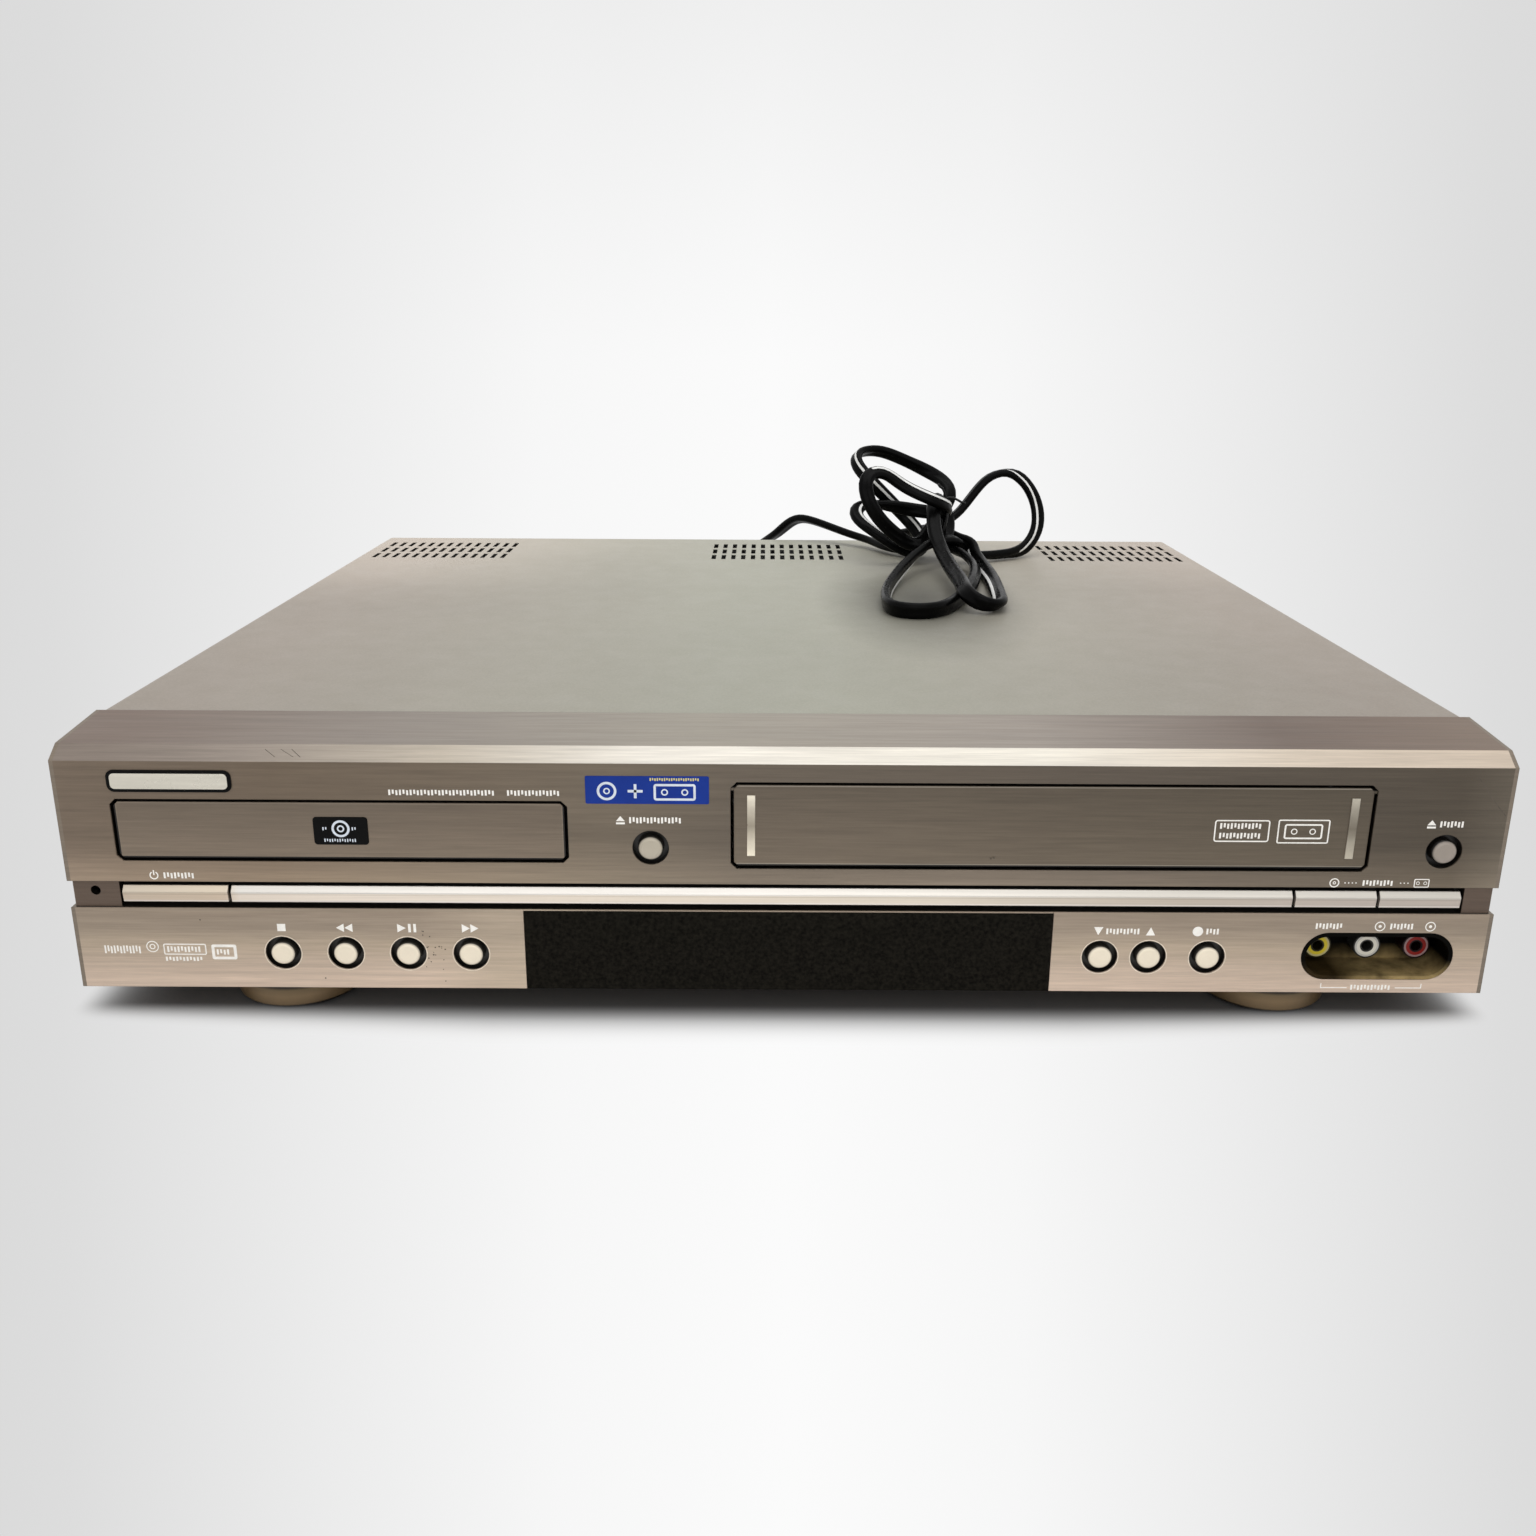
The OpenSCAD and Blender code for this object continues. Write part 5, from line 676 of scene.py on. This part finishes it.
def smooth_route(points, parts):
    """Points on a smooth curve through the route's own points."""
    made = []
    p = [at(*q) for q in points]
    p = [2 * p[0] - p[1]] + p + [2 * p[-1] - p[-2]]
    for i in range(1, len(p) - 2):
        a, b, c, d = p[i - 1:i + 3]
        for k in range(parts):
            t = k / parts
            made.append(0.5 * (2 * b + (c - a) * t + (2 * a - 5 * b + 4 * c - d) * t * t
                               + (3 * b - a - 3 * c + d) * t ** 3))
    made.append(p[-2])
    return made


def even(points, step):
    """The same line with its points evenly spaced, and small kinks smoothed away."""
    runs = lengths(points)
    count, made, k = round(runs[-1] / step), [], 0
    for i in range(count + 1):
        along = runs[-1] * i / count
        while k < len(runs) - 2 and runs[k + 1] < along:
            k += 1
        made.append(points[k].lerp(points[k + 1], (along - runs[k]) / (runs[k + 1] - runs[k])))
    for _ in range(3):
        made = made[:1] + [made[i] * 0.5 + (made[i - 1] + made[i + 1]) * 0.25
                           for i in range(1, count)] + made[-1:]
    return made


# How the flex is rolled, in degrees at points of the route: at 0 its marked face looks to the
# front, at 90 to the left of the way that it runs
ROLLS = [(0, 0), (8, 90), (12, 90), (16, 160), (19.5, 230), (23, 315), (28, 335), (34, 350),
         (37, 180), (41, 335), (47, 340), (51, 30), (54, 80), (56, 80), (57.5, 35), (59.5, 20),
         (61, 35), (62.5, 80), (66, 90), (70, 50), (71.5, 60), (74, 150), (78, 150), (84, 160),
         (90, 165), (95, 160), (98, 110), (100, 40), (103, 60), (108, 90), (119, 90)]
# Where the pale line shows: from and to on the route, and the side of the face that has it
MARKED = [(21.2, 29.5, 3), (31.5, 35.6, 6), (38.6, 43.9, 6), (56.6, 61.9, 6), (68.5, 73.2, 3),
          (98.6, 104, 3)]
TO_FRONT = Vector((0.0, -0.96, 0.28))


def rolled(line, place):
    """The flex's wide direction at each point, turned evenly between the rolls."""
    last = len(line) - 1
    tangents = [(line[min(i + 1, last)] - line[max(i - 1, 0)]).normalized() for i in range(last + 1)]
    carried = [TO_FRONT]
    for tangent in tangents:
        flat = carried[-1] - tangent * carried[-1].dot(tangent)
        carried.append(flat.normalized())
    carried.pop(0)
    turns = []
    for at_route, degrees in ROLLS:
        i = place(at_route)
        tangent = tangents[i]
        front = (TO_FRONT - tangent * TO_FRONT.dot(tangent)).normalized()
        left = front.cross(tangent)
        face = front * math.cos(math.radians(degrees)) + left * math.sin(math.radians(degrees))
        angle = math.atan2(face.dot(carried[i].cross(tangent)), face.dot(carried[i]))
        if turns:
            angle += math.tau * round((turns[-1][1] - angle) / math.tau)
        turns.append((i, angle))
    turns.append((last + 1, turns[-1][1]))
    made, k = [], 0
    for i, tangent in enumerate(tangents):
        while k < len(turns) - 2 and turns[k + 1][0] <= i:
            k += 1
        part = (i - turns[k][0]) / (turns[k + 1][0] - turns[k][0])
        angle = turns[k][1] + (turns[k + 1][1] - turns[k][1]) * part * part * (3 - 2 * part)
        face = carried[i] * math.cos(angle) + carried[i].cross(tangent) * math.sin(angle)
        made.append((face.cross(tangent), face))
    return made


# The flex's section, in millimetres: half its outline, with the furrow between the two cores
HALF_SECTION = [(3.5, 0.0), (3.4, 0.7), (2.95, 1.38), (2.1, 1.9), (0.85, 1.95), (0.0, 1.72),
                (-0.85, 1.95), (-2.1, 1.9), (-2.95, 1.38), (-3.4, 0.7)]
SECTION = HALF_SECTION + [(-a, -b) for a, b in HALF_SECTION]


def make_cord():
    """The flex along its route, with the pale line on some stretches of one side."""
    parts = 6
    fine = smooth_route(ROUTE, parts)
    runs = lengths(fine)
    line = even(fine, 0.003)

    def place(at_route):
        """The point of the line at a place of the route, counted in the route's points."""
        k = min(int(at_route * parts), len(runs) - 1)
        return round(runs[k] / runs[-1] * (len(line) - 1))

    bm = bmesh.new()
    rings = [[bm.verts.new(point + side * (a / 1000) + face * (b / 1000)) for a, b in SECTION]
             for point, (side, face) in zip(line, rolled(line, place))]
    sides = skin(bm, rings)
    for start, end, k in MARKED:
        for faces in sides[place(start):place(end)]:
            faces[k].material_index = 1
    flex = finish_piece("mains_flex", bm, "cord", "case", 70, looks=("stripe",))
    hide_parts("mains_cord")
    return flex, line


def make_boot():
    """The strain relief: a flange in the rear panel and a ribbed, tapered sleeve."""
    mid_x, _, mid_z = EXIT
    sleeve_y = 352.3
    bm = bmesh.new()
    for half_x, y0, y1, half_z in ((5.9, 346.2, 350.2, 4.9), (7.5, 350.2, 352.7, 6.5)):
        fill(bm, [rectangle(mid_x - half_x, mid_x + half_x, mid_z - half_z, mid_z + half_z)],
             lambda x, z: at(x, y0, z), Vector((0, (y1 - y0) / 1000, 0)))
    # The sleeve's profile: distance along it and radius
    profile = [(0.0, 5.4)]
    for i in range(6):
        start, radius = 1.2 + i * 3.4, 5.0 - i * 0.27
        profile += [(start, radius), (start + 1.9, radius - 0.1), (start + 2.1, radius - 0.9),
                    (start + 3.2, radius - 1.0)]
    profile += [(21.8, 3.75), (21.9, 3.3)]
    skin(bm, [[bm.verts.new(at(x, sleeve_y + along, z)) for x, z in circle(mid_x, mid_z, radius, 32)]
              for along, radius in profile])
    boot = finish_piece("cord_boot", bm, "plug", "case", 35, bevel=0.25)
    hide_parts("strain_relief")
    return boot


def make_plug():
    """A moulded plug with a ribbed neck, finger grips and two flat blades with holes."""
    bm = bmesh.new()
    x0, y0, z0 = 140, 402, 5.8 - FOOT

    def section(x, half_w, half_h, power):
        """A rounded rectangle: the smaller the power, the squarer."""
        return [bm.verts.new(at(x0 + x, y0 + half_w * math.copysign(abs(c) ** power, c),
                                z0 + half_h * math.copysign(abs(s) ** power, s)))
                for c, s in circle(0, 0, 1, 32)]

    shape = [(0, 3.4, 2.6, 0.8), (0.6, 3.9, 3.1, 0.8)]
    for i in range(4):
        for x, half_w, half_h in ((1.4, 4.1, 3.3), (2.8, 4.2, 3.4), (3.0, 3.4, 2.8), (3.8, 3.5, 2.9)):
            shape.append((x + i * 2.6, half_w + i * 0.25, half_h + i * 0.25, 0.8))
    shape += [(12, 6.4, 4.6, 0.7), (14.5, 8.7, 5.4, 0.55), (18, 9.7, 5.7, 0.42), (20, 9.9, 5.75, 0.4)]
    for i in range(4):
        for x, half_w, half_h in ((21, 9.9, 5.75), (21.5, 9.3, 5.2), (22.5, 9.3, 5.2), (23, 9.9, 5.75)):
            shape.append((x + i * 2.4, half_w, half_h, 0.4))
    shape += [(32, 9.8, 5.7, 0.4), (35.4, 9.5, 5.5, 0.42), (36, 9.0, 5.0, 0.45)]
    skin(bm, [section(*s) for s in shape])
    plug = finish_piece("mains_plug", bm, "plug", "case", 30)
    bm = bmesh.new()
    apart, thick, half_h, root, shoulder, tip = 6.35, 1.5, 3.15, x0 + 35, x0 + 51.6, x0 + 52.9
    outline = [(root, z0 - half_h), (shoulder, z0 - half_h), (tip, z0 - 1.6), (tip, z0 + 1.6),
               (shoulder, z0 + half_h), (root, z0 + half_h)]
    for y in (y0 - apart - thick / 2, y0 + apart - thick / 2):
        fill(bm, [outline, circle(x0 + 48, z0, 1.5, 16)], lambda x, z: at(x, y, z),
             Vector((0, thick / 1000, 0)))
    blades = finish_piece("plug_blades", bm, "brass", "case", 30, bevel=0.2)
    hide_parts("cord_plug")
    return plug, blades


def sweep(bm, points, half_w, half_t):
    """A small tube along points, half_w by half_t."""
    rings = []
    for i, point in enumerate(points):
        tangent = (points[min(i + 1, len(points) - 1)] - points[max(i - 1, 0)]).normalized()
        side = tangent.cross(Vector((0.3, 0.9, 0.2))).normalized()
        up = tangent.cross(side)
        rings.append([bm.verts.new(point + side * (half_t * a) + up * (half_w * b))
                      for a, b in circle(0, 0, 1, 8)])
    skin(bm, rings)


def make_tie():
    """A paper-covered wire tie round the loops, with its two twisted ends standing up."""
    steps, start, (mid_x, mid_y, mid_z) = 40, 14, (83, 298, 98.5)
    points = [at(mid_x + 1.2 * math.sin(3 * a), mid_y + 13.5 * math.cos(a), mid_z + 13 * math.sin(a))
              for a in (math.tau * (k + start) / steps for k in range(steps + 1))]
    bm = bmesh.new()
    sweep(bm, points, 0.0011, 0.0006)
    knot = points[0]
    for sign, far in ((1, Vector((-0.004, -0.002, 0.007))), (-1, Vector((0.010, -0.002, -0.001)))):
        turn = [knot + Vector((0.0007 * math.cos(sign * 1.6 * k), -0.0006,
                               0.0007 * math.sin(sign * 1.6 * k) + 0.0006 * k)) for k in range(6)]
        end = [turn[-1] + far * (k / 5) + Vector((0, 0, 0.001 * math.sin(k))) for k in range(1, 6)]
        sweep(bm, turn + end, 0.0008, 0.0006)
    return finish_piece("cord_tie", bm, "plug", "case", 60)


flex, cord_line = make_cord()
boot, (plug, blades), tie = make_boot(), make_plug(), make_tie()


# ---- printing and stuck-on pieces on the front ----

def make_front_print():
    """All printing on the front, as plain marks in the places of the real ones."""
    # Blank name plate: dark rim with a pale brushed face
    printed("plate_rim", "dark_ink", [[rectangle(-198.8, -162.2, 63.9, 70.7, 2.2, 6)]], proud=0.35)
    printed("plate_face", "plate", [[rectangle(-197.7, -163.3, 64.9, 69.7, 1.3, 6)]], y=-0.35, proud=0.2)
    # Power mark
    arc = [(-188.6 + r * math.cos(math.radians(a)), 37.2 + r * math.sin(math.radians(a)))
           for r, turn in ((1.35, range(120, 421, 20)), (0.98, range(420, 119, -20))) for a in turn]
    shapes = [[arc], [rectangle(-188.8, -188.4, 37.3, 38.9)]]
    shapes += ticks(-185.7, -176.0, 37.2, 1.9)
    # Format line above the tray, and the marks by the two upper buttons
    shapes += ticks(-116.4, -84.5, 64.1, 1.7) + ticks(-81.5, -65.4, 64.1, 1.7)
    for x, start, end in ((-48.4, -45.8, -30.0), (191.9, 194.4, 202.4)):
        shapes += [[[(x - 1.3, 55.4), (x + 1.3, 55.4), (x, 57.0)]],
                   [rectangle(x - 1.3, x + 1.3, 54.4, 55.0)]]
        shapes += ticks(start, end, 55.7, 1.9)
    # Source selection: a disc on the left, a cassette on the right
    shapes += [ring(165.4, 36.7, 1.5, 0.35), ring(165.4, 36.7, 0.5, 0.25)]
    shapes += cassette(191.6, 36.7, 4.6, 2.8, 0.3) + ticks(173.9, 184.0, 36.7, 1.8)
    dots = [168.6 + i * 1.1 for i in range(4)] + [185.3 + i * 1.1 for i in range(3)]
    shapes += [[circle(x, 36.7, 0.22, 8)] for x in dots]
    # Transport marks above the lower buttons
    z = 20.2
    shapes.append([rectangle(-153.4, -150.9, z - 1.2, z + 1.2)])
    for x, way in ((-133.1, -1), (-94.9, 1)):
        for dx in (-2.5, 0.1):
            base, tip = (x + dx, x + dx + 2.4) if way > 0 else (x + dx + 2.4, x + dx)
            shapes.append([[(base, z - 1.4), (tip, z), (base, z + 1.4)]])
    shapes.append([[(-117.0, z - 1.4), (-114.4, z), (-117.0, z + 1.4)]])
    for x in (-113.7, -112.1):
        shapes.append([rectangle(x, x + 0.8, z - 1.4, z + 1.4)])
    shapes += [[[(94.4, 21.7), (97.2, 21.7), (95.8, 19.0)]], [[(110.3, 19.0), (113.1, 19.0), (111.7, 21.7)]]]
    shapes += ticks(98.2, 109.4, 20.3, 1.9)
    shapes += [[circle(126.0, 20.4, 1.6)]] + ticks(128.6, 133.2, 20.4, 1.9)
    # Jack marks and the bracket under them
    shapes += ticks(161.6, 170.0, 22.4, 1.9) + ticks(184.2, 192.0, 22.4, 1.9)
    for x in (181.1, 196.4):
        shapes += [ring(x, 22.4, 1.6, 0.32), [circle(x, 22.4, 0.5, 12)]]
    for x0, x1, top in ((165.4, 165.7, 3.1), (165.7, 173.6, 1.8), (196.2, 196.5, 3.1), (188.4, 196.2, 1.8)):
        shapes.append([rectangle(x0, x1, 1.5, top)])
    shapes += ticks(174.7, 187.4, 1.8, 1.7)
    # Three plain marks at the lower left
    shapes += ticks(-206.7, -194.5, 12.6, 2.6, 0.95, 0.5)
    shapes += [ring(-192.0, 13.6, r, 0.3) for r in (1.9, 0.9)]
    shapes += [frame_of(-188.7, -175.7, 10.9, 14.6, 0.5, 0.35)] + ticks(-187.6, -177.0, 12.75, 1.9)
    shapes += ticks(-188.4, -176.0, 9.5, 1.4)
    shapes += [frame_of(-174.1, -166.5, 9.4, 14.4, 0.6, 0.9)] + ticks(-172.6, -168.2, 11.9, 1.8)
    printed("front_marks", "ink", shapes)
    # Blue sticker with plain disc and cassette marks
    printed("sticker", "blue", [[rectangle(-58.5, -22.1, 60.9, 69.6, 0.5)]], proud=0.12)
    on_sticker = [ring(-52.2, 64.9, 2.9, 0.75), ring(-52.2, 64.9, 1.0, 0.4)]
    on_sticker += [[rectangle(-46.0, -41.6, 64.5, 65.3)], [rectangle(-44.2, -43.4, 62.7, 67.1)]]
    on_sticker += cassette(-32.2, 64.6, 12.4, 5.2, 0.7)
    printed("sticker_marks", "ice", on_sticker, y=-0.12)
    printed("sticker_line", "gold", ticks(-39.5, -24.5, 68.6, 0.9, 0.7, 0.4), y=-0.12)
    # Black badge with a plain disc mark on the tray door
    printed("disc_badge", "dark_ink", [[rectangle(-139.6, -123.4, 47.3, 56.1, 1.0)]], "tray", 0.4, 0.15)
    marks = [ring(-131.5, 52.4, 2.7, 0.7), ring(-131.5, 52.4, 1.1, 0.45)]
    marks += ticks(-136.9, -134.9, 52.4, 1.0, 0.8, 0.4) + ticks(-128.2, -126.1, 52.4, 1.0, 0.8, 0.4)
    printed("disc_badge_marks", "ice", marks + ticks(-136.6, -126.6, 48.7, 1.0, 0.75, 0.35), "tray", 0.25)
    # Two plain marks on the cassette door
    shapes = [frame_of(127.8, 144.2, 49.6, 56.6, 0.8, 0.4)]
    shapes += ticks(129.4, 142.8, 54.7, 1.8) + ticks(129.4, 142.8, 51.6, 1.8)
    shapes += [frame_of(146.6, 162.0, 49.2, 56.8, 0.6, 0.4)] + cassette(154.3, 53.0, 11.4, 4.8, 0.5)
    printed("cassette_marks", "ink", shapes, "cassette_flap", 0.4)


def make_rim_highlights():
    """A painted highlight on the broken edge round each button's hole in the lower panel, below the strip: a
    thin pale ring.
    """
    strip_low = 40
    shapes = []
    for name in NODE_LOOKS["caps"]:
        x, _, z = sum(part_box(name), Vector()) * 500
        if z < strip_low:
            shapes.append(ring(x, z - FOOT, 5.8, 0.28))
    printed("button_rim_highlights", "rim", shapes, proud=0.02)


def make_scuffs():
    """A scratch at the right, specks by the play button and nicks along the top edge."""
    picks = random.Random(7)
    shapes = []
    line = [(203.6, 70.2), (206.0, 67.4), (207.6, 65.0), (210.2, 61.8), (213.2, 58.4)]
    for (x0, z0), (x1, z1) in zip(line, line[1:]):
        shapes.append([[(x0, z0), (x1, z1), (x1 + 0.22, z1 + 0.1), (x0 + 0.22, z0 + 0.1)]])
    for _ in range(26):
        x, z = -107.5 + picks.gauss(0, 3.2), 11.5 + picks.gauss(0, 4.5)
        if 2 < z < 25 and min(abs(x + 114.1), abs(x + 95)) + abs(z - 11.7) * 0.3 > 6:
            shapes.append([circle(x, z, picks.uniform(0.12, 0.3), 7)])
    for x, dx in ((-151.4, 2.6), (-146.8, 3.4), (-143.6, 2.2)):
        shapes.append([[(x, 77.3), (x + dx, 74.9), (x + dx + 0.25, 74.9), (x + 0.25, 77.3)]])
    for x, z in ((-176.5, 22.6), (-140.2, 3.2), (62.8, 44.2), (61.9, 43.9), (150.3, 71.4)):
        shapes.append([circle(x, z, 0.25, 7)])
    printed("scuff_marks", "mark", shapes, proud=0.02)


make_front_print()
make_rim_highlights()
make_scuffs()


# ---- stage, world and lamps ----

# The backdrop far to the side, and the world behind it
FAR_GREY = 0.695


def stage_look():
    """The pale backdrop: lightest in line with the object, greyer to both sides.

    It shows its own colour to the camera and in reflections, and keeps the real soft shadow
    round the object's foot over a painted shadow: close round the footprint its colour is dark grey."""
    look = Look("backdrop", 0.9, Specular_IOR_Level=0.0)
    x, y, z = look.x, look.y, look.z
    side = look.math("ABSOLUTE", x)
    # How far to the side in the photograph's view: 0 in its middle, about 1 at its edges
    camera_back, tilt, widen = 0.6, 0.29, 1.763
    depth = look.math("MAXIMUM", look.math("SUBTRACT", look.math("ADD", y, camera_back),
                                           look.math("MULTIPLY", z, tilt)), 0.1)
    across = look.math("DIVIDE", look.math("MULTIPLY", side, widen), depth)
    greys = ((0.0, 0.965), (0.15, 0.93), (0.3, 0.835), (0.47, 0.72), (0.55, FAR_GREY))
    shade = look.bands(look.math("MULTIPLY", across, 0.5), [(place, [grey] * 3) for place, grey in greys])
    fall = look.math("MULTIPLY", look.remap(z, 0.0, 1.0, 0.15, 0.7), look.remap(across, 0.15, 0.0, 0.2, 1.0))
    shade = look.mix(fall, shade, [0.3] * 3)

    def beyond(value, limit, reach):
        """How far value is past limit, as a share of reach."""
        return look.math("DIVIDE", look.math("MAXIMUM", look.math("SUBTRACT", value, limit), 0.0), reach)

    # Distance outside the footprint: it sets how much of the real shadow shows, and where the painted shadow
    # gives way to the backdrop's own grey
    half_x, front, back = 0.187, -0.1695, 0.176
    to_side = beyond(side, half_x, 0.037)
    to_side = look.math("MULTIPLY_ADD", look.math("POWER", to_side, 5.0), 0.8,
                        look.math("MULTIPLY", to_side, 0.2))
    to_front = beyond(front, y, look.remap(side, 0.025, 0.013, 0.09, 0.21))
    out = look.length(to_side, to_front, beyond(y, back, 0.045))
    clear = look.node("MapRange", {"Value": out}, interpolation_type="SMOOTHSTEP").outputs["Result"]
    # Painted shadow: close round the footprint the floor's colour is dark grey
    near = look.mix(clear, [0.12] * 3, shade)
    look.colour(look.mix(look.past(z, -0.001), shade, near))
    path = look.node("LightPath")
    rays = look.math("MAXIMUM", path.outputs["Is Camera Ray"], look.math(
        "MAXIMUM", path.outputs["Is Glossy Ray"], path.outputs["Is Transmission Ray"]))
    glow = look.node("Emission", {"Color": shade, "Strength": 1.0})
    both = look.node("MixShader", {0: look.math("MULTIPLY", rays, clear),
                                   1: look.shader.outputs[0], 2: glow.outputs[0]})
    look.tree.links.new(both.outputs[0], look.tree.nodes["Material Output"].inputs["Surface"])
    return look.material


def make_stage():
    """A floor that curves up into a back wall."""
    reach, bend, radius, height = 6.0, 0.8, 0.9, 3.0
    bm = bmesh.new()
    side = [(-reach, 0.0), (bend, 0.0)]
    side += [(bend + radius * math.sin(math.radians(a)), radius - radius * math.cos(math.radians(a)))
             for a in range(5, 91, 5)]
    side += [(bend + radius, height)]
    rows = [[bm.verts.new((x, y, z)) for y, z in side] for x in (-reach, reach)]
    for k in range(len(side) - 1):
        bm.faces.new((rows[0][k], rows[1][k], rows[1][k + 1], rows[0][k + 1]))
    mesh = bpy.data.meshes.new("backdrop")
    bm.to_mesh(mesh)
    bm.free()
    mesh.materials.append(stage_look())
    mesh.shade_smooth()
    floor = bpy.data.objects.new("backdrop", mesh)
    bpy.context.scene.collection.objects.link(floor)


def lamp(name, place, aim, size, power):
    """A soft area lamp that looks at aim."""
    data = bpy.data.lights.new(name, "AREA")
    data.shape, data.size, data.size_y, data.energy = "RECTANGLE", *size, power
    light = bpy.data.objects.new(name, data)
    place = Vector(place)
    light.location = place
    light.rotation_mode = "QUATERNION"
    light.rotation_quaternion = (Vector(aim) - place).to_track_quat("-Z", "Y")
    bpy.context.scene.collection.objects.link(light)


def make_world(strength):
    """White light, and the backdrop's grey for what the camera sees past the backdrop."""
    world = bpy.data.worlds.new("studio")
    bpy.context.scene.world = world
    world.use_nodes = True
    nodes, links = world.node_tree.nodes, world.node_tree.links
    base = nodes["Background"]
    base.inputs["Color"].default_value = (1, 1, 1, 1)
    base.inputs["Strength"].default_value = strength
    shown = nodes.new("ShaderNodeBackground")
    shown.inputs["Color"].default_value = rgba([FAR_GREY] * 3)
    mix = nodes.new("ShaderNodeMixShader")
    links.new(nodes.new("ShaderNodeLightPath").outputs["Is Camera Ray"], mix.inputs[0])
    links.new(base.outputs[0], mix.inputs[1])
    links.new(shown.outputs[0], mix.inputs[2])
    links.new(mix.outputs[0], nodes["World Output"].inputs["Surface"])


make_stage()
make_world(0.72)
lamp("overhead", (0.12, 0.0, 1.3), (0.08, 0, 0), (1.2, 1.0), 5.5)
lamp("front", (0.0, -1.7, 1.0), (0, -0.1, 0.05), (2.2, 1.2), 7.0)

bpy.context.scene.view_settings.view_transform = "Standard"
